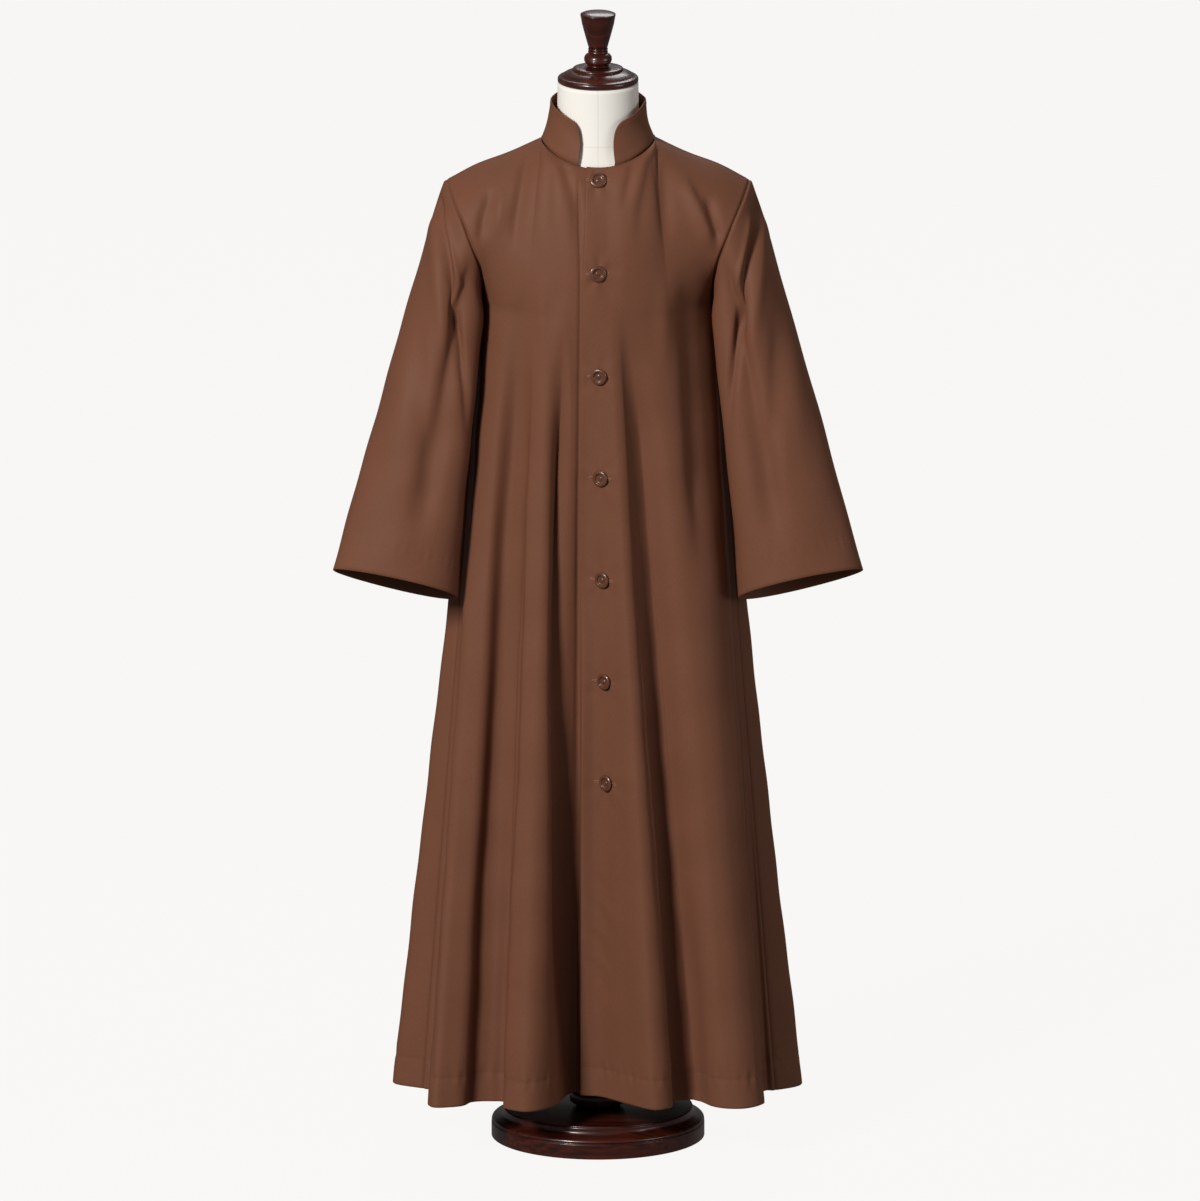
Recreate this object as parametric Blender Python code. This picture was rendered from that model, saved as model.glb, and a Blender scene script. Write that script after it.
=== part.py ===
"""A cassock worn by a limbless dress form on a turned wooden stand.

Metres, +Z up, front towards -Y, and +X is the wearer's left. The origin is the centre of the stand's foot.

The body of the cassock is one surface. A place on it is an angle round the chest, from 0 at the centre
front through +90 at the wearer's left side to 180 at the centre back, and a level: 0 at the hem, 1 at the
chest, where the underarm points are, and 2 at the shoulder seams and the neckline. Fronts and back are
cut from it.
"""

import math

import bmesh
import bpy
import numpy as np
from mathutils import Vector

# Cloth
CLOTH = 0.002  # thickness of every cloth wall
SEAM = 0.0004  # gap between pieces that are sewn to each other
LAYER = 0.0008  # gap between layers that lie on each other

# Body: levels, half widths and depths
HEM_Z = 0.088
CHEST_Z = 1.290
CHEST_HALF_WIDTH = 0.174
CHEST_FRONT = 0.135
CHEST_BACK = 0.128
SHOULDER_TIP = np.array((0.228, 0.0, 1.473))
NECK_POINT = np.array((0.085, 0.0, 1.536))
NECK_FRONT = 0.078  # plan depth of the neckline in front of the neck points
NECK_BACK = 0.074
NECK_FRONT_DROP = 0.026  # how far the neckline falls from the neck points to the centre front
NECK_BACK_RISE = 0.012
SHOULDER_SHARE = 0.57  # share of a panel's top edge, from the armhole on, that is shoulder seam

# How the cloth runs from the chest up to the top edge: at the armhole, at the neck point, at the centre
FLARE_KEPT = ((0.19,), (0.27,), (0.22,))  # share of the skirt's slope with which it leaves the chest
ARMHOLE_SCOOP = np.array((-0.030, 0.31, 0.0))  # added at the armhole: inwards, and away from it in depth
TOP_ARRIVES = ((0.06, 0.36, 0.14), (0.0, 0.25, 0.0), (0.0, 0.09, 0.12))  # outwards, in depth, up

# Hem: the point (x, y) below each angle of the chest. Ridges stand out, and the valleys lie between them.
HEM_FOLDS = (
    (-180, 0.006, 0.205),  # ridge at the centre back
    (-170, -0.052, 0.165),
    (-157, -0.118, 0.203),  # back ridge
    (-143, -0.162, 0.146),
    (-128, -0.232, 0.158),  # back ridge
    (-114, -0.262, 0.074),
    (-98, -0.306, -0.036),  # the wearer's right side
    (-90, -0.264, -0.066),
    (-84, -0.238, -0.088),
    (-77, -0.254, -0.143),
    (-56, -0.214, -0.181),  # outer ridge of the right front
    (-45, -0.160, -0.152),
    (-39, -0.139, -0.150),
    (-34, -0.142, -0.182),
    (-27, -0.112, -0.211),  # inner ridge of the right front
    (-17, -0.065, -0.172),
    (-11, -0.041, -0.108),
    (-7.5, -0.031, -0.092),  # the closing edge, in the deepest valley
    (-3, -0.005, -0.106),
    (2, 0.042, -0.160),
    (6, 0.084, -0.201),  # inner ridge of the left front
    (9.5, 0.112, -0.182),
    (12.5, 0.110, -0.150),
    (18, 0.140, -0.157),
    (37, 0.197, -0.191),  # outer ridge of the left front
    (62, 0.240, -0.168),
    (73, 0.249, -0.135),
    (81, 0.243, -0.088),
    (90, 0.267, -0.077),
    (103, 0.306, -0.033),  # the wearer's left side
    (117, 0.258, 0.078),
    (131, 0.228, 0.162),  # back ridge
    (145, 0.158, 0.143),
    (158, 0.106, 0.206),  # back ridge
    (170, 0.056, 0.163),
)

# Closing: the left front lies over the right one
OVER_EDGE = -7.5  # angle of the left front's edge
UNDER_EDGE = 6.0  # angle to which the right front runs on underneath
UNDER_FROM = -17.0  # angle at which the right front starts to dip under, and where it is all the way down
UNDER_FULL = -9.0

# Sleeves, for the wearer's left; the right one is its mirror image
CUFF_CENTRE = np.array((0.304, -0.095, 0.8735))
CUFF_OUT = np.array((0.093, 0.0, 0.0215))  # half of the cuff, from its centre to its outer end
CUFF_FORE = np.array((0.0, -0.063, 0.025))  # from its centre to its front edge
SHOULDER_LEAVES = np.array((0.042, 0.0, -0.060))  # how the sleeve sets out from the shoulder tip
UNDERARM_LEAVES = np.array((0.058, -0.050, -0.090))  # and from the underarm
SLEEVE_HEAD = 0.25  # share of the sleeve's length over which its folds come in
# Folds below the armhole: angle round the sleeve (0 top, 90 front, 180 underarm), half width, height, reach
SLEEVE_FOLDS = (
    (104, 16, -0.014, 0.70),
    (146, 20, 0.015, 1.00),
    (262, 22, -0.012, 0.60),
    (228, 16, 0.009, 0.50),
)

# Stand collar with rounded front ends
COLLAR_HEIGHT = 0.058
COLLAR_FRONT_HEIGHT = 0.016  # straight part of a front end, below its round corner
COLLAR_CORNER = 0.022
COLLAR_LEAN = np.array((0.013, 0.007, 0.0))  # how far it leans in towards the neck, sideways and in depth
COLLAR_ENDS = (17.8, 339.3)  # neck angles of its ends, from the centre front round the wearer's left

# Buttons
BUTTON_RADIUS = 0.0125
BUTTON_THICK = 0.0046
BUTTON_COUNT = 7
TOP_BUTTON_Z = 1.491
SECOND_BUTTON_Z = 1.357
BUTTON_SPACING = 0.156

# Dress form and stand
NECK_TOP_Z = 1.621
NECK_RADIUS = 0.0605
FORM_BOTTOM_Z = 0.880
STAND_RADIUS = 0.160
STAND_HEIGHT = 0.046
POLE_RADIUS = 0.021

# Mesh: rows of the skirt, rows of the part above it, which are the sleeves' columns too, and column spacing
SKIRT_LEVELS = np.linspace(0, 1, 6)
YOKE_RISES = np.linspace(0, 1, 10)
BODY_LEVELS = np.append(SKIRT_LEVELS[:-1], 1 + YOKE_RISES)
COLUMN_STEP = 5.2

MATERIALS = {
    "cloth": ((0.150, 0.066, 0.037), 0.72),
    "button": ((0.090, 0.036, 0.022), 0.30),
    "form_cover": ((0.830, 0.790, 0.720), 0.80),
    "wood": ((0.040, 0.012, 0.008), 0.22),
}


def clear_scene():
    for obj in list(bpy.data.objects):
        bpy.data.objects.remove(obj, do_unlink=True)


def material(name):
    """A plain Principled BSDF in the colour and roughness of that finish, made once."""
    found = bpy.data.materials.get(name)
    if found:
        return found
    made = bpy.data.materials.new(name)
    made.use_nodes = True
    colour, roughness = MATERIALS[name]
    shader = made.node_tree.nodes["Principled BSDF"]
    shader.inputs["Base Color"].default_value = (*colour, 1.0)
    shader.inputs["Roughness"].default_value = roughness
    shader.inputs["Metallic"].default_value = 0.0
    return made


def add_object(name, mesh, finish):
    mesh.materials.append(material(finish))
    mesh.shade_smooth()
    mesh.set_sharp_from_angle(angle=math.radians(40))
    obj = bpy.data.objects.new(name, mesh)
    bpy.context.scene.collection.objects.link(obj)
    return obj


# ---------------------------------------------------------------- curves


def hermite(start, leave, end, arrive, t):
    """The cubic from start to end that leaves and arrives with those tangents."""
    t = np.asarray(t, float)[..., None]
    return (
        (2 * t**3 - 3 * t**2 + 1) * start
        + (t**3 - 2 * t**2 + t) * leave
        + (3 * t**2 - 2 * t**3) * end
        + (t**3 - t**2) * arrive
    )


def around(stations, points, at):
    """Points at the angles `at` on the smooth closed curve through (station in degrees, point)."""
    turns = np.concatenate([stations - 360, stations, stations + 360])
    values = np.concatenate([points, points, points])
    slopes = np.gradient(values, turns, axis=0)
    i = np.searchsorted(turns, at, side="right") - 1
    span = (turns[i + 1] - turns[i])[..., None]
    t = (at - turns[i]) / span[..., 0]
    return hermite(values[i], slopes[i] * span, values[i + 1], slopes[i + 1] * span, t)


def ease(t):
    """0 below 0, 1 above 1, and a smooth step between."""
    t = np.clip(t, 0.0, 1.0)
    return t * t * (3 - 2 * t)


def unit(vectors):
    return vectors / np.linalg.norm(vectors, axis=-1, keepdims=True)


def normals(grid, closed=False):
    """Unit normals of a grid, outward where its columns run anticlockwise from above and its rows up."""
    along = np.roll(grid, -1, 0) - np.roll(grid, 1, 0) if closed else np.gradient(grid, axis=0)
    return unit(np.cross(along, np.gradient(grid, axis=1)))


# ---------------------------------------------------------------- the body's surface


def chest_ring(angle):
    """The chest: an ellipse in front and a shallower one behind."""
    a = np.radians(angle)
    depth = np.where(np.cos(a) > 0, CHEST_FRONT, CHEST_BACK)
    return np.stack([CHEST_HALF_WIDTH * np.sin(a), -depth * np.cos(a), np.full_like(a, CHEST_Z)], axis=-1)


def hem_ring(angle):
    folds = np.array(HEM_FOLDS, float)
    plan = around(folds[:, 0], folds[:, 1:], angle)
    return np.concatenate([plan, np.full(plan.shape[:-1] + (1,), HEM_Z)], axis=-1)


def neckline(angle):
    """The neckline at an angle round the neck: 0 in front, 90 at the wearer's left, 180 behind."""
    a = np.radians(angle)
    forward = np.cos(a) > 0
    depth = np.where(forward, NECK_FRONT, NECK_BACK)
    lift = np.where(forward, -NECK_FRONT_DROP, NECK_BACK_RISE) * np.cos(a) ** 2
    return np.stack([NECK_POINT[0] * np.sin(a), -depth * np.cos(a), NECK_POINT[2] + lift], axis=-1)


def top_edge(angle, behind):
    """Where the line at this chest angle ends: on the shoulder seam, or on the neckline."""
    side = np.where(angle < 0, -1.0, 1.0)
    in_from_side = np.where(behind, np.abs(angle) - 90, 90 - np.abs(angle)) / 90
    along = np.clip(in_from_side / SHOULDER_SHARE, 0, 1)[..., None]
    seam = SHOULDER_TIP + (NECK_POINT - SHOULDER_TIP) * along
    seam = seam * np.stack([side, np.ones_like(side), np.ones_like(side)], axis=-1)
    share = np.clip((1 - in_from_side) / (1 - SHOULDER_SHARE), 0, 1)
    from_centre = 90 * share * (0.55 + 0.45 * share)
    turn = np.where(behind, 180 - from_centre, from_centre) * side
    return np.where((in_from_side < SHOULDER_SHARE)[..., None], seam, neckline(turn))


def between(values, share):
    """Reads (at the armhole, at the neck point, at the centre) along a panel's top edge."""
    stations = (0.0, SHOULDER_SHARE, 1.0)
    return np.stack([np.interp(share, stations, column) for column in np.transpose(values)], axis=-1)


def yoke(angle, rise, behind):
    """The part above the chest: up from the chest ring, and over to the shoulder seam or the neckline."""
    start, hem, end = chest_ring(angle), hem_ring(angle), top_edge(angle, behind)
    share = np.where(behind, np.abs(angle) - 90, 90 - np.abs(angle)) / 90
    back = np.where(behind, 1.0, -1.0)
    side = np.where(angle < 0, -1.0, 1.0)
    leave = (start - hem) / (CHEST_Z - HEM_Z) * between(FLARE_KEPT, share)
    leave = leave + ARMHOLE_SCOOP * np.stack([side, back, side], axis=-1) * (1 - share[..., None]) ** 2
    arrive = between(TOP_ARRIVES, share) * np.stack([side, -back, np.ones_like(side)], axis=-1)
    return hermite(start, leave, end, arrive, rise)


def body(angles, levels, behind=False):
    """A grid of points on the body's surface, one column for each angle and one row for each level."""
    angles = np.asarray(angles, float)
    angle, level = np.meshgrid(np.where(angles > 180, angles - 360, angles), levels, indexing="ij")
    down = (1 - np.clip(level, 0, 1))[..., None]
    skirt = chest_ring(angle) * (1 - down) + hem_ring(angle) * down
    top = yoke(angle, np.clip(level - 1, 0, 1), np.full(angle.shape, behind))
    return np.where((level <= 1)[..., None], skirt, top)


def body_normals(angles, levels, behind=False):
    """Outward unit normals of the body's surface, from points a little to each side of every place."""
    edge = (90, 270) if behind else (-90, 90)
    angles, levels = np.asarray(angles, float), np.asarray(levels, float)
    above, below = np.minimum(levels + 0.01, 2), np.maximum(levels - 0.01, 0)
    up = body(angles, above, behind) - body(angles, below, behind)
    along = body(angles + 0.5, levels, behind) - body(angles - 0.5, levels, behind)
    within = body(np.minimum(angles + 0.5, edge[1]), levels, behind)
    within = within - body(np.maximum(angles - 0.5, edge[0]), levels, behind)
    return unit(np.cross(np.where((levels <= 1)[:, None], along, within), up))


def armhole(turn, side):
    """The armhole at an angle round it: 0 at the shoulder tip, 90 in front, 180 underarm, 270 behind."""
    turn = np.asarray(turn, float) % 360
    rise = np.abs(1 - turn / 180)
    return yoke(np.full(turn.shape, 90.0 * side), rise, turn > 180)


def sleeve_leaves(turn, side):
    """How the sleeve sets out from the armhole at an angle round it."""
    low = ((1 - np.cos(np.radians(turn))) / 2)[..., None]
    return (SHOULDER_LEAVES * (1 - low) + UNDERARM_LEAVES * low) * (side, 1, 1)


def armhole_seam(turn, side):
    """Along the seam of body and sleeve: the way out through the cloth, and that from body to sleeve."""
    turn = np.asarray(turn, float)
    tangent = armhole(turn + 1, side) - armhole(turn - 1, side)
    of_sleeve = unit(np.cross(tangent, sleeve_leaves(turn, side))) * side
    rise = np.abs(1 - (turn % 360) / 180)
    behind = (turn % 360) > 180
    edge = np.full(turn.shape, 90.0 * side)
    up = yoke(edge, np.minimum(rise + 0.01, 1), behind) - yoke(edge, np.maximum(rise - 0.01, 0), behind)
    into = yoke(edge, rise, behind) - yoke(edge * np.where(behind, 1.01, 0.99), rise, behind)
    of_body = unit(np.cross(into, up) * np.where(behind, -side, side)[:, None])
    of_body[:, 1] *= np.abs(np.sin(np.radians(turn))) > 1e-6
    facing = unit(of_sleeve + of_body)
    return facing, unit(np.cross(facing, tangent)) * side


def columns(first, last):
    """Angles of a panel's columns: each fold's station, with others between stations that lie far apart."""
    folds = [fold[0] for fold in HEM_FOLDS]
    stations = sorted({first, last, *(s for s in (*folds, *(f + 360 for f in folds), OVER_EDGE, UNDER_EDGE)
                                      if first < s < last)})
    steps = [np.linspace(a, b, 1 + max(1, math.ceil((b - a) / COLUMN_STEP)))[:-1]
             for a, b in zip(stations, stations[1:])]
    return np.append(np.concatenate(steps), last)


def panel_seams(angles, behind):
    """Ways through a panel's cloth, alike on both sides of each seam, and moves that open the seams."""
    facing = body_normals(angles, BODY_LEVELS, behind)
    moves = np.zeros_like(facing)
    slope = SHOULDER_TIP - NECK_POINT
    turned = (angles + 180) % 360 - 180
    sides = np.where(turned < 0, -1.0, 1.0)
    in_from_side = (np.abs(turned) - 90 if behind else 90 - np.abs(turned)) / 90
    for column, side in enumerate(sides):
        if in_from_side[column] <= SHOULDER_SHARE:
            facing[column, -1] = unit(np.array((-slope[2] * side, 0.0, slope[0])))
        moves[column, -1] = (0, SEAM / 2 if behind else -SEAM / 2, 0)
        if in_from_side[column] < 1e-6:
            moves[column] += (0, SEAM / 2 if behind else -SEAM / 2, 0)
            turns = 180 + 180 * YOKE_RISES * (1 if behind else -1)
            through, across = armhole_seam(turns, side)
            facing[column, -len(turns):] = through
            moves[column, -len(turns):] = -across * SEAM / 2
            moves[column, -len(turns)] += (0, SEAM / 2 if behind else -SEAM / 2, 0)
            moves[column, -1] += (0, SEAM / 2 if behind else -SEAM / 2, 0)
    return facing, moves


# ---------------------------------------------------------------- walls


def wall(name, outer, inner, finish="cloth", closed=False):
    """A closed shell between two grids of points: the outer face, the inner face, and the rims.

    A rim is split from its lower outer corners to its higher inner ones, so that two pieces that share the
    points of a seam have rims of one shape.
    """
    wide, high = outer.shape[:2]
    points = np.concatenate([outer.reshape(-1, 3), inner.reshape(-1, 3)])

    def at(i, j, inside):
        return (i % wide) * high + j + inside * wide * high

    faces = []

    def rim(a, b):
        """The rim from grid place a to grid place b, with the cloth on its left as seen from outside."""
        out_a, out_b, in_a, in_b = at(*a, 0), at(*b, 0), at(*a, 1), at(*b, 1)
        if points[out_a][2] < points[out_b][2]:
            faces.extend([(out_a, in_a, in_b), (out_a, in_b, out_b)])
        else:
            faces.extend([(out_b, out_a, in_a), (out_b, in_a, in_b)])

    for i in range(wide if closed else wide - 1):
        for j in range(high - 1):
            faces.append((at(i, j, 0), at(i + 1, j, 0), at(i + 1, j + 1, 0), at(i, j + 1, 0)))
            faces.append((at(i, j, 1), at(i, j + 1, 1), at(i + 1, j + 1, 1), at(i + 1, j, 1)))
        rim((i, 0), (i + 1, 0))
        rim((i + 1, high - 1), (i, high - 1))
    if not closed:
        for j in range(high - 1):
            rim((0, j + 1), (0, j))
            rim((wide - 1, j), (wide - 1, j + 1))
    mesh = bpy.data.meshes.new(name)
    mesh.from_pydata(points.tolist(), [], faces)
    mesh.update()
    return add_object(name, mesh, finish)


def panel(name, angles, behind=False, dip=0.0):
    """One cut piece of the body, between its first and last angle. dip moves its columns in."""
    facing, moves = panel_seams(angles, behind)
    grid = body(angles, BODY_LEVELS, behind) + moves - facing * np.reshape(dip, (-1, 1, 1))
    return wall(name, grid, grid - facing * CLOTH)


# ---------------------------------------------------------------- pieces of the cassock


def make_body():
    panel("front_left", columns(OVER_EDGE, 90))
    right = columns(-90, UNDER_EDGE)
    dip = (CLOTH + LAYER) * ease((right - UNDER_FROM) / (UNDER_FULL - UNDER_FROM))
    panel("front_right", right, dip=dip)
    panel("back", columns(90, 270), behind=True)


def cuff(turn, side):
    """The cuff: an oval that tapers to a point at its outer end, higher in front than behind."""
    a = np.radians(turn)
    fore = np.sin(a) * (1 - 0.28 * (1 + np.cos(a)) / 2)
    ring = CUFF_CENTRE + np.cos(a)[:, None] * CUFF_OUT + fore[:, None] * CUFF_FORE
    return ring * (side, 1, 1)


def sleeve(turns, downs, side):
    """A grid on the sleeve: columns round it, and rows from the armhole, 0, down to the cuff, 1."""
    start, end = armhole(turns, side), cuff(turns, side)
    leave = sleeve_leaves(turns, side)
    arrive = (end - start) * 1.05
    rows = [hermite(start, leave, end, arrive, np.full(turns.shape, down)) for down in downs]
    grid = np.stack(rows, axis=1)
    facing = normals(grid, closed=True) * side
    for centre, width, height, reach in SLEEVE_FOLDS:
        round_it = np.exp(-(((turns - centre) / width) ** 2))
        down_it = np.sin(np.pi * np.clip(downs / reach, 0, 1) ** 0.7) * ease(downs / SLEEVE_HEAD)
        grid = grid + facing * (height * round_it[:, None] * down_it[None, :])[..., None]
    return grid


def make_sleeve(name, side):
    turns = 180 * np.concatenate([1 - YOKE_RISES[::-1], 1 + YOKE_RISES[1:-1]])
    downs = np.array((0.0, 0.05, 0.11, 0.19, 0.29, 0.41, 0.55, 0.70, 0.85, 1.0))
    grid = sleeve(turns, downs, side)
    facing = normals(grid, closed=True) * side
    facing[:, 0], across = armhole_seam(turns, side)
    grid[:, 0] += across * SEAM / 2
    if side < 0:
        grid, facing = grid[::-1], facing[::-1]
    wall(name, grid, grid - facing * CLOTH, closed=True)


def collar_height(from_end):
    """Height of the collar at a distance from its front end: straight, then a round corner, then full."""
    in_corner = np.clip(1 - from_end / COLLAR_CORNER, 0, 1)
    return COLLAR_FRONT_HEIGHT + (COLLAR_HEIGHT - COLLAR_FRONT_HEIGHT) * (1 - in_corner**2.5) ** 0.4


def make_collar():
    """A stand collar on the neckline, curved out at its foot, and open for a hand's width in front."""
    first, last = COLLAR_ENDS
    corner = math.degrees(COLLAR_CORNER / NECK_FRONT)
    steps = 1 - np.cos(np.linspace(0, math.pi / 2, 5))
    turns = np.concatenate([
        first + corner * steps,
        np.linspace(first + corner, last - corner, 24)[1:-1],
        last - corner * steps[::-1],
    ])
    foot = neckline(turns)
    from_end = np.radians(np.minimum(turns - first, last - turns)) * NECK_FRONT
    high = collar_height(from_end)
    inward = -foot * (1, 1, 0) / np.array((NECK_POINT[0], NECK_FRONT, 1))
    rises = np.linspace(0, 1, 5)
    rows = []
    for rise in rises:
        lift = high * rise
        lean = COLLAR_LEAN * (1 - (1 - lift[:, None] / COLLAR_HEIGHT) ** 2.2)
        row = foot + inward * lean
        row[:, 2] += SEAM * 1.5 + lift
        rows.append(row)
    grid = np.stack(rows, axis=1)
    facing = normals(grid)
    wall("collar", grid, grid - facing * CLOTH)


def button_heights():
    lower = [SECOND_BUTTON_Z - BUTTON_SPACING * i for i in range(BUTTON_COUNT - 1)]
    return [TOP_BUTTON_Z, *lower]


def button_mesh():
    """A turned button: a rounded rim, a dished face, and a low boss in the middle."""
    r, t = BUTTON_RADIUS, BUTTON_THICK
    profile = (
        (0.0, t * 0.62), (r * 0.20, t * 0.58), (r * 0.34, t * 0.42), (r * 0.56, t * 0.62),
        (r * 0.76, t), (r * 0.94, t * 0.80), (r, t * 0.45), (r * 0.88, 0.0), (0.0, 0.0),
    )
    return turned_mesh("button", profile, 20)


def make_buttons():
    """Buttons down the closing, each just clear of the highest cloth beneath it."""
    mesh = button_mesh()
    levels = np.linspace(0, 2, 1001)
    cloth = body(np.linspace(-12, 12, 25), levels)
    middle = cloth[12]
    facing = body_normals([0.0], levels)[0]
    for number, height in enumerate(button_heights(), 1):
        row = int(np.argmin(np.abs(middle[:, 2] - height)))
        offsets = cloth - middle[row]
        above = offsets @ facing[row]
        beside = np.linalg.norm(offsets - above[..., None] * facing[row], axis=-1)
        lift = above[(beside < BUTTON_RADIUS) & (np.abs(above) < BUTTON_RADIUS)].max() + LAYER
        button = add_object(f"button_{number}", mesh.copy(), "button")
        button.location = Vector(middle[row] + facing[row] * lift)
        button.rotation_euler = Vector(facing[row]).to_track_quat("Z", "Y").to_euler()


# ---------------------------------------------------------------- dress form and stand


def turned_mesh(name, profile, sides):
    """The profile's (radius, height) points, from the top middle down the outside, spun round Z."""
    work = bmesh.new()
    points = [work.verts.new((radius, 0.0, height)) for radius, height in profile]
    edges = [work.edges.new(pair) for pair in zip(points, points[1:])]
    bmesh.ops.spin(work, geom=points + edges, cent=(0, 0, 0), axis=(0, 0, 1),
                   angle=math.tau, steps=sides, use_merge=True, use_duplicate=False)
    bmesh.ops.remove_doubles(work, verts=work.verts, dist=1e-5)
    bmesh.ops.recalc_face_normals(work, faces=work.faces)
    mesh = bpy.data.meshes.new(name)
    work.to_mesh(mesh)
    work.free()
    return mesh


def arc(centre, radius, first, last, count, flatten=1.0):
    """Profile points on an arc, its angles in degrees from +radius towards +height."""
    angles = np.radians(np.linspace(first, last, count))
    return [(centre[0] + radius * math.cos(a), centre[1] + radius * flatten * math.sin(a)) for a in angles]


def form_profile():
    """(height, half width, depth in front, depth behind) of the form's sections, from the neck down."""
    r = NECK_RADIUS
    return (
        (NECK_TOP_Z, r, r - 0.001, r - 0.001),
        (1.585, r + 0.0005, r, r),
        (1.555, r + 0.002, r + 0.002, r + 0.002),
        (1.535, r + 0.007, r + 0.004, r + 0.002),
        (1.521, 0.088, 0.066, 0.062),
        (1.508, 0.118, 0.068, 0.064),
        (1.493, 0.152, 0.071, 0.067),
        (1.478, 0.184, 0.073, 0.070),
        (1.462, 0.206, 0.076, 0.073),
        (1.440, 0.210, 0.080, 0.077),
        (1.400, 0.190, 0.088, 0.086),
        (1.350, 0.166, 0.101, 0.096),
        (1.300, 0.156, 0.112, 0.104),
        (1.230, 0.153, 0.116, 0.107),
        (1.140, 0.142, 0.108, 0.098),
        (1.060, 0.136, 0.102, 0.093),
        (0.980, 0.148, 0.106, 0.102),
        (FORM_BOTTOM_Z + 0.012, 0.160, 0.108, 0.110),
        (FORM_BOTTOM_Z, 0.150, 0.098, 0.100),
    )


def make_form():
    """The padded torso: oval sections lofted from the neck to the hips and closed at both ends."""
    sides = 32
    work = bmesh.new()
    rings = []
    for height, half_width, front, behind in form_profile():
        ring = []
        for i in range(sides):
            a = math.tau * i / sides
            depth = front if math.cos(a) > 0 else behind
            ring.append(work.verts.new((half_width * math.sin(a), -depth * math.cos(a), height)))
        rings.append(ring)
    for upper, lower in zip(rings, rings[1:]):
        for i in range(sides):
            j = (i + 1) % sides
            work.faces.new((lower[i], lower[j], upper[j], upper[i]))
    work.faces.new(rings[0])
    work.faces.new(rings[-1][::-1])
    bmesh.ops.recalc_face_normals(work, faces=work.faces)
    mesh = bpy.data.meshes.new("form_torso")
    work.to_mesh(mesh)
    work.free()
    add_object("form_torso", mesh, "form_cover")


def make_neck_cap():
    """The wooden disc that closes the neck: a rounded rim, a low dome and a ring round the finial."""
    r, bottom = NECK_RADIUS, NECK_TOP_Z + SEAM
    profile = [
        (0.0, bottom + 0.0245),
        (0.036, bottom + 0.0235),
        (0.0375, bottom + 0.0215),
        (0.0375, bottom + 0.0185),
        (0.047, bottom + 0.0150),
        (0.056, bottom + 0.0100),
        *arc((r - 0.0045, bottom + 0.0045), 0.0045, 60, -60, 4),
        (r - 0.004, bottom),
        (0.0, bottom),
    ]
    add_object("neck_cap", turned_mesh("neck_cap", profile, 36), "wood")


def make_finial():
    """The turned knob: a ball, a waist with a ring, and a cone that widens to a domed top."""
    bottom = NECK_TOP_Z + 0.0245 + 2 * SEAM
    profile = [
        (0.0, bottom + 0.0835),
        (0.016, bottom + 0.0825),
        (0.0262, bottom + 0.0795),
        (0.0262, bottom + 0.0770),
        (0.0205, bottom + 0.0520),
        (0.0145, bottom + 0.0270),
        (0.0128, bottom + 0.0255),
        (0.0128, bottom + 0.0215),
        (0.0145, bottom + 0.0195),
        *arc((0.0085, bottom + 0.0095), 0.0122, 50, -45, 6, 0.8),
        (0.0165, bottom),
        (0.0, bottom),
    ]
    add_object("finial", turned_mesh("finial", profile, 28), "wood")


def make_stand():
    """The round base: an upright edge, an ogee above it, and a flat top."""
    r, top = STAND_RADIUS, STAND_HEIGHT
    profile = [
        (0.0, top),
        (0.139, top - 0.001),
        (0.1405, top - 0.003),
        (0.1425, top - 0.009),
        (0.1480, top - 0.0135),
        (0.1560, top - 0.0165),
        (r - 0.0005, top - 0.0200),
        (r - 0.0015, top - 0.0220),
        (r, top - 0.0235),
        (r, 0.002),
        (r - 0.002, 0.0),
        (0.0, 0.0),
    ]
    add_object("stand_base", turned_mesh("stand_base", profile, 48), "wood")


def make_pole():
    """The turned column from the base up to the form: a bulb at its foot, a ring, and a plain shaft."""
    foot, head = STAND_HEIGHT + SEAM, FORM_BOTTOM_Z - SEAM
    profile = [
        (0.0, head),
        (POLE_RADIUS, head),
        (POLE_RADIUS, foot + 0.075),
        (0.0275, foot + 0.058),
        (0.0290, foot + 0.040),
        (0.0290, foot + 0.034),
        (0.0270, foot + 0.031),
        *arc((0.0300, foot + 0.0155), 0.0125, 70, -70, 6),
        (0.0330, foot),
        (0.0, foot),
    ]
    add_object("stand_pole", turned_mesh("stand_pole", profile, 28), "wood")


clear_scene()
make_body()
make_sleeve("sleeve_left", 1)
make_sleeve("sleeve_right", -1)
make_collar()
make_buttons()
make_form()
make_neck_cap()
make_finial()
make_stand()
make_pole()
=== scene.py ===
import math

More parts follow.
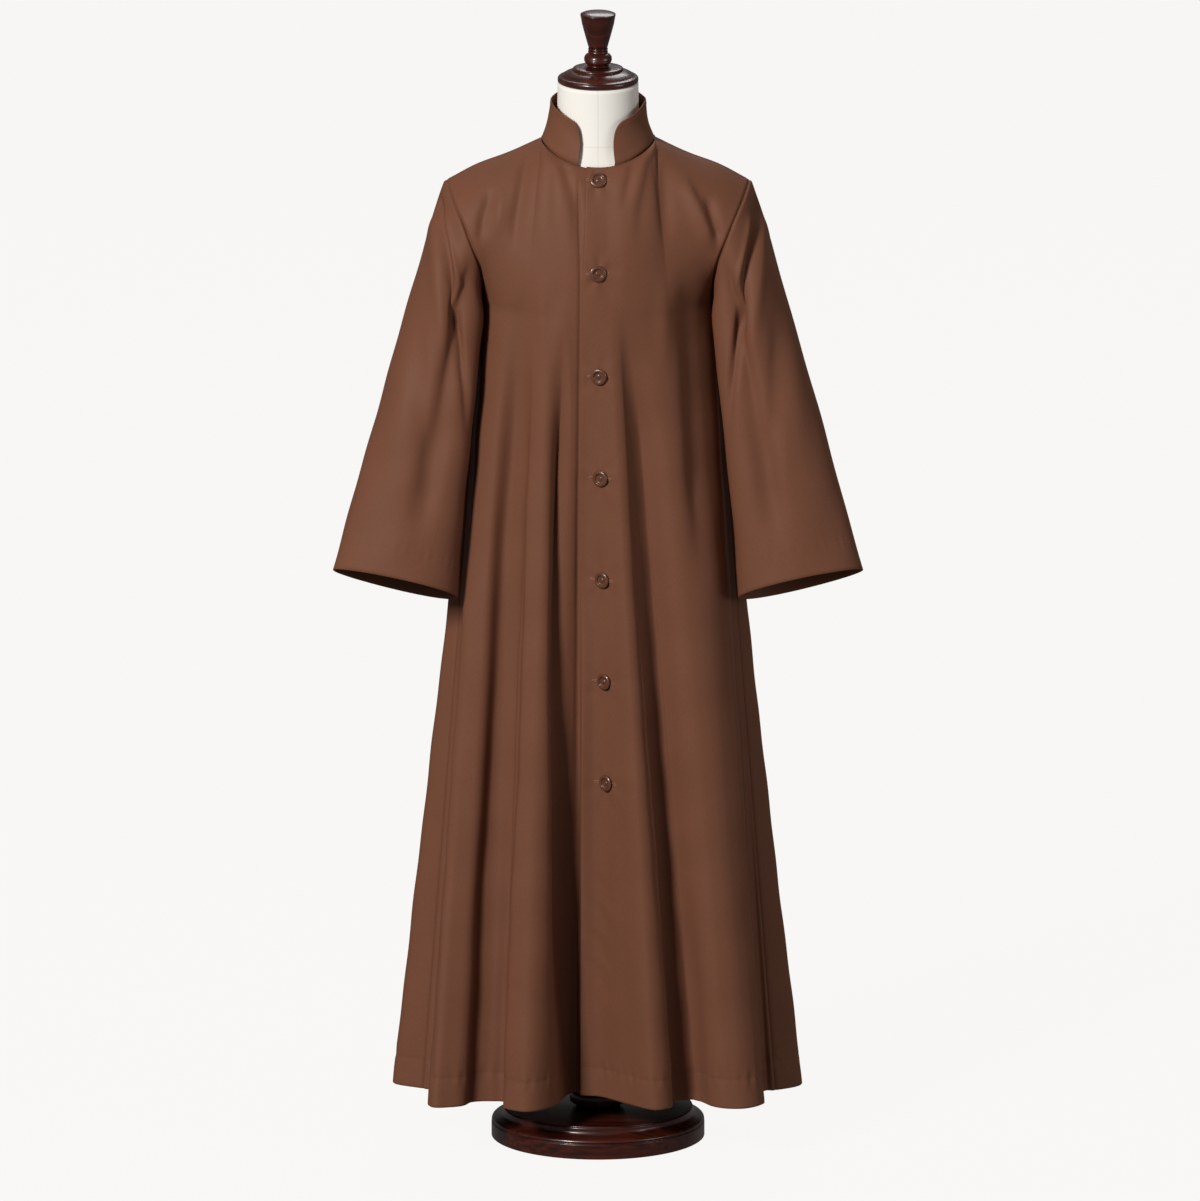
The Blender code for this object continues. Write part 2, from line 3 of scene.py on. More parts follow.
import bpy
import numpy as np
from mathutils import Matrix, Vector


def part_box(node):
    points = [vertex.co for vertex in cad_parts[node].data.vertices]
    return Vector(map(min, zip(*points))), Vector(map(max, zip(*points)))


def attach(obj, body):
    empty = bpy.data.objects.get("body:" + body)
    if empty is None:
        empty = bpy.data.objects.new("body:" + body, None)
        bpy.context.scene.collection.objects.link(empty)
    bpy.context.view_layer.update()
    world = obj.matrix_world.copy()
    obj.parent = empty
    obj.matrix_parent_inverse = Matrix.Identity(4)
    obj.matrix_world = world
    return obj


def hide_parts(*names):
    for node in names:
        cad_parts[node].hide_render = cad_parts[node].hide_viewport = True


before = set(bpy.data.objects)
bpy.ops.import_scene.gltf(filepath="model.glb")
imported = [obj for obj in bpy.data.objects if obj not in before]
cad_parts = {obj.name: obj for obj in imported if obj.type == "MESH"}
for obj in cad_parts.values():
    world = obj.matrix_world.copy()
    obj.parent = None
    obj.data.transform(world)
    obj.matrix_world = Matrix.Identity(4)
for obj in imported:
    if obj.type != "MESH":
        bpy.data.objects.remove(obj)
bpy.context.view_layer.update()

# ---------------------------------------------------------------- studio
# A pale floor that runs out of sight under an even, dim sky. The key light is soft, in front, to the left and
# above head height; a weak one on the right fills, and one behind lights the shoulders. The camera stands far
# off and looks down a little.


def srgb(text):
    """Linear RGBA from an sRGB hex value: each channel goes through the standard's curve."""
    channels = [int(text[i:i + 2], 16) / 255 for i in (0, 2, 4)]
    return (*(c / 12.92 if c <= 0.04045 else ((c + 0.055) / 1.055) ** 2.4 for c in channels), 1.0)


def node(tree, kind, links=(), values=(), **settings):
    """Adds a node. links maps its inputs to other nodes' outputs, values maps its inputs to plain values."""
    made = tree.nodes.new(kind)
    for name, value in settings.items():
        setattr(made, name, value)
    for name, value in dict(values).items():
        made.inputs[name].default_value = value
    for name, output in dict(links).items():
        tree.links.new(output, made.inputs[name])
    return made


def finish(name, colour, roughness, **sockets):
    """A material whose uniform values sit on its Principled BSDF's sockets. Returns it and its parts."""
    made = bpy.data.materials.new(name)
    made.use_nodes = True
    tree = made.node_tree
    shader = tree.nodes["Principled BSDF"]
    shader.inputs["Base Color"].default_value = srgb(colour)
    shader.inputs["Roughness"].default_value = roughness
    for socket, value in sockets.items():
        shader.inputs[socket.replace("_", " ")].default_value = value
    return made, tree, shader


scene = bpy.context.scene
scene.view_settings.view_transform = "Standard"
scene.world = bpy.data.worlds.new("sky")
scene.world.use_nodes = True
sky = scene.world.node_tree.nodes["Background"]
sky.inputs["Color"].default_value = srgb("fffdf8")
sky.inputs["Strength"].default_value = 0.13

FLOOR_REACH = 120.0
floor_mesh = bpy.data.meshes.new("floor")
floor_corners = [(x * FLOOR_REACH, y * FLOOR_REACH, 0.0) for x, y in ((-1, -1), (1, -1), (1, 1), (-1, 1))]
floor_mesh.from_pydata(floor_corners, [], [(0, 1, 2, 3)])
floor = bpy.data.objects.new("floor", floor_mesh)
scene.collection.objects.link(floor)
# Translucent acrylic lit from beneath: it stays pale all over, and only the softest shadows lie on it
floor_acrylic, _, _ = finish(
    "lit_floor_acrylic", "2c2c2c", 1.0, Specular_IOR_Level=0.0,
    Emission_Color=srgb("fbfaf8"), Emission_Strength=0.955,
)
floor_mesh.materials.append(floor_acrylic)
floor.visible_diffuse = False
floor.visible_glossy = False


def soft_light(name, place, aim, size, watts):
    """A square area light at a place, turned to face a point."""
    light = bpy.data.lights.new(name, "AREA")
    light.size = size
    light.energy = watts
    lamp = bpy.data.objects.new(name, light)
    lamp.location = place
    lamp.rotation_euler = (Vector(aim) - Vector(place)).to_track_quat("-Z", "Y").to_euler()
    scene.collection.objects.link(lamp)


soft_light("key", (-4.3, -6.1, 5.0), (0.0, 0.0, 0.85), 1.6, 640)
soft_light("fill", (6.0, -3.0, 2.6), (0.0, 0.0, 0.8), 2.6, 75)
soft_light("rim", (0.5, 4.0, 5.0), (0.0, 0.0, 1.0), 2.5, 90)

VIEW_DISTANCE = 75.0
VIEW_TILT = math.radians(13.5)
VIEW_TARGET = Vector((0.003, 0.0, 0.8245))
camera_data = bpy.data.cameras.new("camera")
camera_data.lens = 1500.0
camera_data.sensor_width = 36.0
camera_data.clip_end = 400.0
camera = bpy.data.objects.new("camera", camera_data)
camera.location = VIEW_TARGET + VIEW_DISTANCE * Vector((0.0, -math.cos(VIEW_TILT), math.sin(VIEW_TILT)))
camera.rotation_euler = (VIEW_TARGET - camera.location).to_track_quat("-Z", "Y").to_euler()
scene.collection.objects.link(camera)
scene.camera = camera

# ---------------------------------------------------------------- fronts and back
# The cassock's body: a left front that laps over the right one, and a one-piece back, cut from smooth brown
# polyester gabardine and sewn at the sides and shoulders. It hangs in soft folds that open towards the hem.

CLOTH = 0.0018
SEAM = 0.0004
LAYER = 0.0008
HEM_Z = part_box("front_left")[0][2]
CHEST_Z = 1.290
CHEST_HALF_WIDTH = 0.174
CHEST_FRONT = 0.135
CHEST_BACK = 0.128
SHOULDER_TIP = np.array((0.228, 0.0, 1.473))
NECK_POINT = np.array((0.085, 0.0, 1.536))
NECK_FRONT = 0.078
NECK_BACK = 0.074
NECK_FRONT_DROP = 0.026
NECK_BACK_RISE = 0.012
SHOULDER_SHARE = 0.57
# Places along a top edge, at the armhole, the neck point and the centre, for the tangents that meet it
TOP_PLACES = (0.0, SHOULDER_SHARE, 1.0)
FLARE_KEPT = ((0.19,), (0.27,), (0.22,))
ARMHOLE_SCOOP = np.array((-0.030, 0.31, 0.0))
TOP_ARRIVES = ((0.06, 0.36, 0.14), (0.0, 0.25, 0.0), (0.0, 0.09, 0.12))
# The hem's point (x, y) below each angle of the chest: ridges stand out, and the valleys lie between them
HEM_FOLDS = (
    (-180, 0.006, 0.205), (-170, -0.052, 0.165), (-157, -0.118, 0.203), (-143, -0.162, 0.146),
    (-128, -0.232, 0.158), (-114, -0.262, 0.074), (-98, -0.306, -0.036), (-90, -0.264, -0.066),
    (-84, -0.238, -0.088), (-77, -0.254, -0.143), (-56, -0.214, -0.181), (-45, -0.160, -0.152),
    (-39, -0.139, -0.150), (-34, -0.142, -0.182), (-27, -0.112, -0.211), (-17, -0.065, -0.172),
    (-11, -0.041, -0.108), (-7.5, -0.031, -0.092), (-3, -0.005, -0.106), (2, 0.042, -0.160),
    (6, 0.084, -0.201), (9.5, 0.112, -0.182), (12.5, 0.110, -0.150), (18, 0.140, -0.157),
    (37, 0.197, -0.191), (62, 0.240, -0.168), (73, 0.249, -0.135), (81, 0.243, -0.088),
    (90, 0.267, -0.077), (103, 0.306, -0.033), (117, 0.258, 0.078), (131, 0.228, 0.162),
    (145, 0.158, 0.143), (158, 0.106, 0.206), (170, 0.056, 0.163),
)
OVER_EDGE = -7.5
UNDER_EDGE = 6.0
UNDER_FROM = -17.0
UNDER_FULL = -9.0


def ease(t):
    """0 below 0, 1 above 1, and 3t^2 - 2t^3 between."""
    t = np.clip(t, 0.0, 1.0)
    return t * t * (3 - 2 * t)


def unit(vectors):
    """Vectors divided by their lengths."""
    return vectors / np.maximum(np.linalg.norm(vectors, axis=-1, keepdims=True), 1e-12)


def hermite(start, leave, end, arrive, t):
    """The cubic from start to end with those tangents, at t from 0 to 1."""
    t = np.asarray(t, float)[..., None]
    return (
        (2 * t**3 - 3 * t**2 + 1) * start
        + (t**3 - 2 * t**2 + t) * leave
        + (3 * t**2 - 2 * t**3) * end
        + (t**3 - t**2) * arrive
    )


def smooth_curve(stations, points, at):
    """Places on the curve through (station, point): Hermite spans whose slopes are central."""
    slopes = np.gradient(points, stations, axis=0)
    i = np.clip(np.searchsorted(stations, at, side="right") - 1, 0, len(stations) - 2)
    span = (stations[i + 1] - stations[i])[..., None]
    t = (at - stations[i]) / span[..., 0]
    return hermite(points[i], slopes[i] * span, points[i + 1], slopes[i + 1] * span, t)


def vectors(*parts):
    """Vectors from arrays or single values of x, y and z, broadcast together."""
    return np.stack(np.broadcast_arrays(*parts), axis=-1)


def chest_ring(angle):
    """x = half width times sin, y = -depth times cos, with one depth in front and another behind."""
    a = np.radians(angle)
    depth = np.where(np.cos(a) > 0, CHEST_FRONT, CHEST_BACK)
    return vectors(CHEST_HALF_WIDTH * np.sin(a), -depth * np.cos(a), CHEST_Z)


def hem_ring(angle):
    """The smooth curve through the folds' points, level with the hem. A turn before and after closes it."""
    folds = np.concatenate([np.array(HEM_FOLDS) + (turn, 0, 0) for turn in (-360, 0, 360)])
    x, y = smooth_curve(folds[:, 0], folds[:, 1:], angle).T
    return vectors(x.T, y.T, HEM_Z)


def neckline(angle):
    """An oval round the neck, lowered in front and raised behind by cos squared of the angle."""
    a = np.radians(angle)
    forward = np.cos(a) > 0
    depth = np.where(forward, NECK_FRONT, NECK_BACK)
    lift = np.where(forward, -NECK_FRONT_DROP, NECK_BACK_RISE) * np.cos(a) ** 2
    return vectors(NECK_POINT[0] * np.sin(a), -depth * np.cos(a), NECK_POINT[2] + lift)


def top_edge(angle, behind):
    """The shoulder seam, straight from tip to neck point, then the neckline to the centre."""
    side = np.where(angle < 0, -1.0, 1.0)
    in_from_side = np.where(behind, np.abs(angle) - 90, 90 - np.abs(angle)) / 90
    along = np.clip(in_from_side / SHOULDER_SHARE, 0, 1)[..., None]
    seam = (SHOULDER_TIP + (NECK_POINT - SHOULDER_TIP) * along) * vectors(side, 1, 1)
    share = np.clip((1 - in_from_side) / (1 - SHOULDER_SHARE), 0, 1)
    from_centre = 90 * share * (0.55 + 0.45 * share)
    turn = np.where(behind, 180 - from_centre, from_centre) * side
    return np.where((in_from_side < SHOULDER_SHARE)[..., None], seam, neckline(turn))


def read_at(at, stations, values):
    """Rows of values given at stations, read between them in straight spans."""
    return vectors(*(np.interp(at, stations, column) for column in np.transpose(values)))


def yoke(angle, rise, behind):
    """Hermite curves up from the chest ring to the shoulder seam or the neckline.

    Their tangents vary with the angle from the centre. Within 12 degrees it is read as a^2/24 + 6, so that no
    ridge shows there.
    """
    start, hem, end = chest_ring(angle), hem_ring(angle), top_edge(angle, behind)
    from_centre = np.where(behind, 180 - np.abs(angle), np.abs(angle))
    share = 1 - np.where(from_centre < 12, from_centre**2 / 24 + 6, from_centre) / 90
    back = np.where(behind, 1.0, -1.0)
    side = np.where(angle < 0, -1.0, 1.0)
    leave = (start - hem) / (CHEST_Z - HEM_Z) * read_at(share, TOP_PLACES, FLARE_KEPT)
    leave = leave + ARMHOLE_SCOOP * vectors(side, back, side) * (1 - share[..., None]) ** 2
    arrive = read_at(share, TOP_PLACES, TOP_ARRIVES) * vectors(side, -back, 1)
    return hermite(start, leave, end, arrive, rise)


def smooth_body(angle, level, behind):
    """Chest ring and hem ring mixed below level 1, and the yoke's curves above it, at places one by one."""
    angle, level = np.broadcast_arrays(np.asarray(angle, float), np.asarray(level, float))
    angle = np.where(angle > 180, angle - 360, angle)
    down = (1 - np.clip(level, 0, 1))[..., None]
    skirt = chest_ring(angle) * (1 - down) + hem_ring(angle) * down
    top = yoke(angle, np.clip(level - 1, 0, 1), np.full(angle.shape, behind))
    return np.where((level <= 1)[..., None], skirt, top)


def outward(angle, level, behind):
    """Unit normals of the smooth body: the cross product of differences along it and up it."""
    first, last = (90, 270) if behind else (-90, 90)
    rise, turn = 0.004, 0.25
    up = smooth_body(angle, np.minimum(level + rise, 2), behind)
    up = up - smooth_body(angle, np.maximum(level - rise, 0), behind)
    above = level > 1
    after = np.where(above, np.minimum(angle + turn, last), angle + turn)
    before = np.where(above, np.maximum(angle - turn, first), angle - turn)
    return unit(np.cross(smooth_body(after, level, behind) - smooth_body(before, level, behind), up))


def bell(t):
    """exp(-t^2)."""
    return np.exp(-(t**2))


def fold(points, line, height, before, after, ends):
    """Height of a fold that runs up along a line of (x, z) places.

    Across it, the height is exp(-(t/width)^2), where t is the distance in x and the width is one value before
    the line and another after it. Along it, it fades over the given shares of its length at its two ends.
    """
    places = np.array(line, float)
    order = np.argsort(places[:, 1])
    x, z = places[order, 0], places[order, 1]
    t = points[..., 0] - np.interp(points[..., 2], z, x)
    across = bell(t / np.where(t < 0, before, after))
    share = (points[..., 2] - z[0]) / (z[-1] - z[0])
    return height * across * ease(share / ends[0]) * ease((1 - share) / ends[1])


def ripples(a, b, seed, waves, height):
    """Soft unevenness: a sum of sines of seeded directions and phases over two distances in metres."""
    random = np.random.default_rng(seed)
    total = np.zeros(np.broadcast(a, b).shape)
    for length in waves:
        turn, phase = random.uniform(0, 2 * np.pi, 2)
        total += np.sin(2 * np.pi * (a * np.cos(turn) + b * np.sin(turn)) / length + phase)
    return height * total / math.sqrt(len(waves))


# Folds of the fronts: line of (x, z), height, width before and after it in x, and the faded share of each end
FRONT_FOLDS = (
    # the right front's outer ridge, with its pressed edge, and the valley inside it
    (((-0.175, 1.12), (-0.200, 0.86), (-0.215, 0.58), (-0.249, 0.0)), 0.004, 0.006, 0.012, (0.02, 0.3)),
    (((-0.105, 1.38), (-0.122, 1.23), (-0.140, 0.95), (-0.148, 0.71), (-0.156, 0.56), (-0.167, 0.40),
      (-0.172, 0.25), (-0.184, 0.0)), -0.015, 0.014, 0.024, (0.02, 0.22)),
    # its inner ridge, with a fine crease down its middle
    (((-0.099, 1.26), (-0.104, 1.07), (-0.107, 0.89), (-0.116, 0.59), (-0.132, 0.33), (-0.146, 0.0)),
     0.0028, 0.004, 0.008, (0.02, 0.3)),
    # the deep valley beside the closing edge
    (((-0.056, 1.30), (-0.054, 1.165), (-0.053, 0.92), (-0.052, 0.70), (-0.047, 0.55), (-0.044, 0.0)),
     -0.025, 0.015, 0.009, (0.30, 0.20)),
    (((-0.021, 0.95), (-0.019, 0.60), (-0.017, 0.0)), 0.014, 0.009, 0.016, (0.02, 0.35)),
    # the left front: the valley beyond its inner ridge, its outer ridge, and that ridge's pressed edge
    (((0.038, 1.32), (0.062, 1.12), (0.072, 0.95), (0.079, 0.83), (0.090, 0.66), (0.106, 0.43), (0.124, 0.28),
      (0.139, 0.0)), -0.020, 0.013, 0.025, (0.08, 0.20)),
    (((0.130, 1.38), (0.142, 1.25), (0.150, 1.10), (0.158, 0.86)), -0.014, 0.018, 0.026, (0.4, 0.25)),
    (((0.150, 0.50), (0.178, 0.0)), 0.005, 0.018, 0.020, (0.05, 0.5)),
    (((0.190, 1.00), (0.206, 0.83), (0.213, 0.60), (0.230, 0.36), (0.249, 0.0)),
     0.005, 0.012, 0.006, (0.02, 0.4)),
    (((0.219, 0.90), (0.229, 0.58), (0.241, 0.35), (0.262, 0.0)), -0.014, 0.005, 0.007, (0.02, 0.3)),
    # gathers that run down from the collar seam and the shoulders
    (((-0.178, 1.385), (-0.172, 1.43), (-0.158, 1.475)), -0.0055, 0.007, 0.011, (0.4, 0.3)),
    (((-0.126, 1.37), (-0.124, 1.43), (-0.112, 1.50), (-0.094, 1.535)), -0.0058, 0.008, 0.013, (0.45, 0.2)),
    (((-0.150, 1.40), (-0.143, 1.48)), 0.0030, 0.008, 0.010, (0.4, 0.4)),
    (((-0.080, 1.39), (-0.074, 1.52)), -0.0030, 0.008, 0.010, (0.5, 0.2)),
    (((-0.028, 1.38), (-0.034, 1.46), (-0.052, 1.52)), -0.0048, 0.010, 0.010, (0.6, 0.1)),
    (((0.036, 1.44), (0.044, 1.48), (0.056, 1.53)), -0.0040, 0.008, 0.011, (0.6, 0.1)),
    (((0.060, 1.37), (0.066, 1.45), (0.084, 1.53)), -0.0042, 0.010, 0.014, (0.6, 0.1)),
    (((0.104, 1.38), (0.098, 1.52)), -0.0040, 0.009, 0.012, (0.5, 0.2)),
    (((0.172, 1.375), (0.163, 1.41), (0.146, 1.45), (0.120, 1.50)), 0.0070, 0.013, 0.008, (0.3, 0.3)),
    (((0.184, 1.385), (0.174, 1.42), (0.160, 1.465)), -0.0060, 0.006, 0.009, (0.3, 0.3)),
    # small ridges at the chest, where the skirt's folds begin
    (((-0.084, 1.22), (-0.084, 1.37)), 0.0035, 0.011, 0.012, (0.5, 0.5)),
    (((-0.060, 1.20), (-0.058, 1.33)), 0.0030, 0.010, 0.012, (0.5, 0.5)),
    (((0.100, 1.18), (0.096, 1.36)), 0.0035, 0.012, 0.012, (0.5, 0.5)),
    # the lapped edge pressed down beside the placket
    (((-0.0285, 1.50), (-0.0265, 1.36), (-0.0285, 1.00), (-0.030, 0.0)),
     -0.0022, 0.0035, 0.0016, (0.02, 0.02)),
)
# Puckers that spread from each button: how deep, how far and how many
BUTTON_PUCKERS = (0.0011, 0.030, 5)
# Puckers across the lower placket: how deep, the place (x, z) of their middle, and their reach each way
PLACKET_PUCKERS = (0.0013, (0.002, 0.34), (0.020, 0.10))
# How high the shoulder's middle is lifted, where it is in x, and the reach of the lift
SHOULDER_LIFT = (0.0042, 0.182, 0.034)
BACK_FOLDS = (
    (((-0.150, 1.20), (-0.178, 0.60), (-0.205, 0.0)), -0.008, 0.020, 0.020, (0.02, 0.4)),
    (((-0.084, 1.28), (-0.083, 0.80), (-0.086, 0.0)), -0.009, 0.022, 0.018, (0.25, 0.35)),
    (((-0.030, 1.20), (-0.036, 0.60), (-0.050, 0.0)), -0.007, 0.016, 0.020, (0.1, 0.4)),
    (((0.034, 1.24), (0.042, 0.70), (0.056, 0.0)), -0.008, 0.020, 0.016, (0.1, 0.4)),
    (((0.092, 1.28), (0.096, 0.80), (0.128, 0.0)), -0.008, 0.018, 0.022, (0.1, 0.35)),
    (((0.148, 1.18), (0.172, 0.60), (0.196, 0.0)), -0.008, 0.020, 0.020, (0.02, 0.4)),
    (((-0.115, 1.22), (-0.128, 0.60), (-0.146, 0.0)), 0.0025, 0.006, 0.010, (0.02, 0.4)),
    (((0.120, 1.20), (0.130, 0.60), (0.150, 0.0)), 0.0025, 0.010, 0.006, (0.02, 0.4)),
    (((-0.130, 1.38), (-0.112, 1.50)), -0.0030, 0.012, 0.012, (0.5, 0.25)),
    (((-0.060, 1.40), (-0.056, 1.53)), -0.0025, 0.012, 0.012, (0.5, 0.15)),
    (((0.058, 1.39), (0.054, 1.53)), -0.0028, 0.012, 0.012, (0.5, 0.15)),
    (((0.128, 1.37), (0.110, 1.50)), -0.0030, 0.012, 0.012, (0.5, 0.25)),
)


def button_puckers(points):
    """Round each button, a wave over the turn about it times exp(-(distance/reach)^2), zero at the button."""
    depth, reach, count = BUTTON_PUCKERS
    total = np.zeros(points.shape[:-1])
    for number in range(1, 8):
        low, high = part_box(f"button_{number}")
        x = points[..., 0] - (low[0] + high[0]) / 2
        z = points[..., 2] - (low[2] + high[2]) / 2
        away = np.hypot(x, z)
        wave = np.sin(count * np.arctan2(z, x) + 1.7 * number)
        total += depth * wave * ease(away / 0.014) * bell(away / reach)
    return total


def placket_puckers(points):
    """Short level waves across the lower placket, where its layers are sewn together."""
    x, z = points[..., 0], points[..., 2]
    depth, (middle_x, middle_z), (reach_x, reach_z) = PLACKET_PUCKERS
    wave = np.sin(2 * np.pi * z / 0.031 + 6 * np.sin(x / 0.03)) * np.sin(2 * np.pi * z / 0.083 + 1)
    return depth * wave * bell((x - middle_x) / reach_x) * bell((z - middle_z) / reach_z)


def rounded_shoulder(points):
    """Lifts the shoulder's middle by a Gaussian of x, alike for every piece so that the seams stay shut."""
    height, middle, reach = SHOULDER_LIFT
    across = bell((np.abs(points[..., 0]) - middle) / reach)
    up = height * across * ease((points[..., 2] - 1.38) / 0.07)
    return up[..., None] * (0, 0, 1)


def draped_height(points, facing, angle, level, behind):
    """Sum of the folds on the side that faces their way, and ripples, all faded towards the seams."""
    toward = ease(facing[..., 1] * (2 if behind else -2))
    folds = BACK_FOLDS if behind else FRONT_FOLDS
    height = toward * sum(fold(points, *each) for each in folds)
    if not behind:
        height = height + button_puckers(points) + placket_puckers(points)
    quiet = 0.2 + 0.8 * ease((np.abs(points[..., 0]) - 0.02) / 0.05)
    height = height + ripples(points[..., 0], points[..., 2], 4, (0.31, 0.23, 0.17, 0.11), 0.0008) * quiet
    from_side = np.abs(angle - 180) if behind else np.abs(angle)
    return height * ease((90 - from_side) / 10) * ease((2 - level) / 0.10)


def draped_body(angle, level, behind=False):
    """The smooth body moved along its normals by the height of its folds. Returns places and normals."""
    angle, level = np.broadcast_arrays(np.asarray(angle, float), np.asarray(level, float))
    points, facing = smooth_body(angle, level, behind), outward(angle, level, behind)
    return points + facing * draped_height(points, facing, angle, level, behind)[..., None], facing


def armhole(turn, side):
    """The armhole at an angle round it: 0 at the shoulder tip, 90 in front, 180 underarm, 270 behind."""
    turn = np.asarray(turn, float) % 360
    return yoke(np.full(turn.shape, 90.0 * side), np.abs(1 - turn / 180), turn > 180)


SHOULDER_LEAVES = np.array((0.042, 0.0, -0.060))
UNDERARM_LEAVES = np.array((0.058, -0.050, -0.090))


def sleeve_leaves(turn, side):
    """The sleeve's direction at the armhole, mixed from that at the shoulder tip and that at the underarm."""
    low = ((1 - np.cos(np.radians(turn))) / 2)[..., None]
    return (SHOULDER_LEAVES * (1 - low) + UNDERARM_LEAVES * low) * (side, 1, 1)


def armhole_seam(turn, side):
    """Along the seam of body and sleeve: the way out through the cloth, and that from body to sleeve."""
    turn = np.asarray(turn, float)
    tangent = armhole(turn + 1, side) - armhole(turn - 1, side)
    of_sleeve = unit(np.cross(tangent, sleeve_leaves(turn, side))) * side
    rise = np.abs(1 - (turn % 360) / 180)
    behind = (turn % 360) > 180
    edge = np.full(turn.shape, 90.0 * side)
    up = yoke(edge, np.minimum(rise + 0.01, 1), behind) - yoke(edge, np.maximum(rise - 0.01, 0), behind)
    into = yoke(edge, rise, behind) - yoke(edge * np.where(behind, 1.01, 0.99), rise, behind)
    of_body = unit(np.cross(into, up) * np.where(behind, -side, side)[:, None])
    of_body[:, 1] *= np.abs(np.sin(np.radians(turn))) > 1e-6
    facing = unit(of_sleeve + of_body)
    return facing, unit(np.cross(facing, tangent)) * side


def run_along(points):
    """Distances along a line of points, or along each row of lines at once, from the first point."""
    steps = np.linalg.norm(np.diff(points, axis=0), axis=-1)
    return np.concatenate([np.zeros_like(steps[:1]), np.cumsum(steps, axis=0)])


def along_grid(grid):
    """Distances over a grid from its middle column and up from its first row, in metres."""
    u = run_along(grid)
    return u - u[len(grid) // 2], run_along(grid.swapaxes(0, 1)).T


def normals(grid, closed=False):
    """Unit normals of a grid from its neighbours' differences."""
    along = np.roll(grid, -1, 0) - np.roll(grid, 1, 0) if closed else np.gradient(grid, axis=0)
    return unit(np.cross(along, np.gradient(grid, axis=1)))


def mesh_object(name, points, faces, material, uv=None):
    """An object at the origin from points, faces as rows of corner numbers, and a UV pair for each point."""
    mesh = bpy.data.meshes.new(name)
    sides = faces.shape[1]
    mesh.vertices.add(len(points))
    mesh.vertices.foreach_set("co", np.ascontiguousarray(points, dtype=np.float32).ravel())
    mesh.loops.add(faces.size)
    mesh.loops.foreach_set("vertex_index", np.ascontiguousarray(faces, dtype=np.int32).ravel())
    mesh.polygons.add(len(faces))
    mesh.polygons.foreach_set("loop_start", np.arange(0, faces.size, sides, dtype=np.int32))
    mesh.update(calc_edges=True)
    mesh.validate()
    mesh.shade_smooth()
    if uv is not None:
        layer = mesh.uv_layers.new(name="cloth")
        corners = np.empty(len(mesh.loops), dtype=np.int32)
        mesh.loops.foreach_get("vertex_index", corners)
        layer.data.foreach_set("uv", np.ascontiguousarray(uv[corners], dtype=np.float32).ravel())
    mesh.materials.append(material)
    made = bpy.data.objects.new(name, mesh)
    scene.collection.objects.link(made)
    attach(made, "root")
    return made


def grid_faces(wide, high, closed, offset=0, flip=False):
    """Quads of a grid numbered row by row up each column, closed round or not."""
    i, j = np.meshgrid(np.arange(wide if closed else wide - 1), np.arange(high - 1), indexing="ij")
    i, j = i.ravel(), j.ravel()
    k = (i + 1) % wide
    quads = np.stack([i * high + j, k * high + j, k * high + j + 1, i * high + j + 1], axis=1) + offset
    return quads[:, ::-1] if flip else quads


# How far a rim's middle stands out, as a share of the thickness
RIM_ROUND = 0.42


def rim(outer, beside, inner, numbers, gap, first_new, flip, closed):
    """One rim: a row midway between the skins, moved out a little, and quads from it to both skins."""
    reach = np.linalg.norm(outer - inner, axis=-1, keepdims=True) * RIM_ROUND
    middle = (outer + inner) / 2 + unit(outer - beside) * reach
    new = first_new + np.arange(len(numbers))
    rows = [np.append(row, row[:1]) if closed else row for row in (numbers, new, numbers + gap)]
    quads = np.concatenate(
        [np.stack([a[:-1], b[:-1], b[1:], a[1:]], axis=1) for a, b in zip(rows, rows[1:])]
    )
    return middle, quads[:, ::-1] if flip else quads


def rim_corners(wide, high):
    """Four quads that close a shell's corners, each between the skins' corners and the ends of two rims."""
    size = wide * high
    foot, left = 2 * size, 2 * (size + wide)
    top, right = foot + wide, left + high
    return np.array([
        (0, left, size, foot),
        (size - high, foot + wide - 1, 2 * size - high, right),
        (high - 1, top, size + high - 1, left + high - 1),
        (size - 1, right + high - 1, 2 * size - 1, top + wide - 1),
    ])


def cut_piece(name, outer, facing, closed=False):
    """A sheet of cloth on a grid, in place of a CAD node: two skins a thickness apart, with rounded rims."""
    wide, high = outer.shape[:2]
    inner = outer - facing * CLOTH
    uv = vectors(*along_grid(outer)).reshape(-1, 2)
    size = wide * high
    foot, side = np.arange(wide) * high, np.arange(high)
    edges = [
        (outer[:, 0], outer[:, 1], inner[:, 0], foot, False),
        (outer[:, -1], outer[:, -2], inner[:, -1], foot + high - 1, True),
    ]
    if not closed:
        edges.append((outer[0], outer[1], inner[0], side, True))
        edges.append((outer[-1], outer[-2], inner[-1], side + size - high, False))
    points, uvs = [outer.reshape(-1, 3), inner.reshape(-1, 3)], [uv, uv]
    faces = [grid_faces(wide, high, closed), grid_faces(wide, high, closed, size, True)]
    for front, beside, back, numbers, flip in edges:
        middle, quads = rim(front, beside, back, numbers, size, sum(map(len, points)), flip, closed)
        points.append(middle)
        uvs.append(uv[numbers])
        faces.append(quads)
    if not closed:
        faces.append(rim_corners(wide, high))
    made = mesh_object(name + "_cloth", *map(np.concatenate, (points, faces)), cloth, np.concatenate(uvs))
    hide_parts(name)


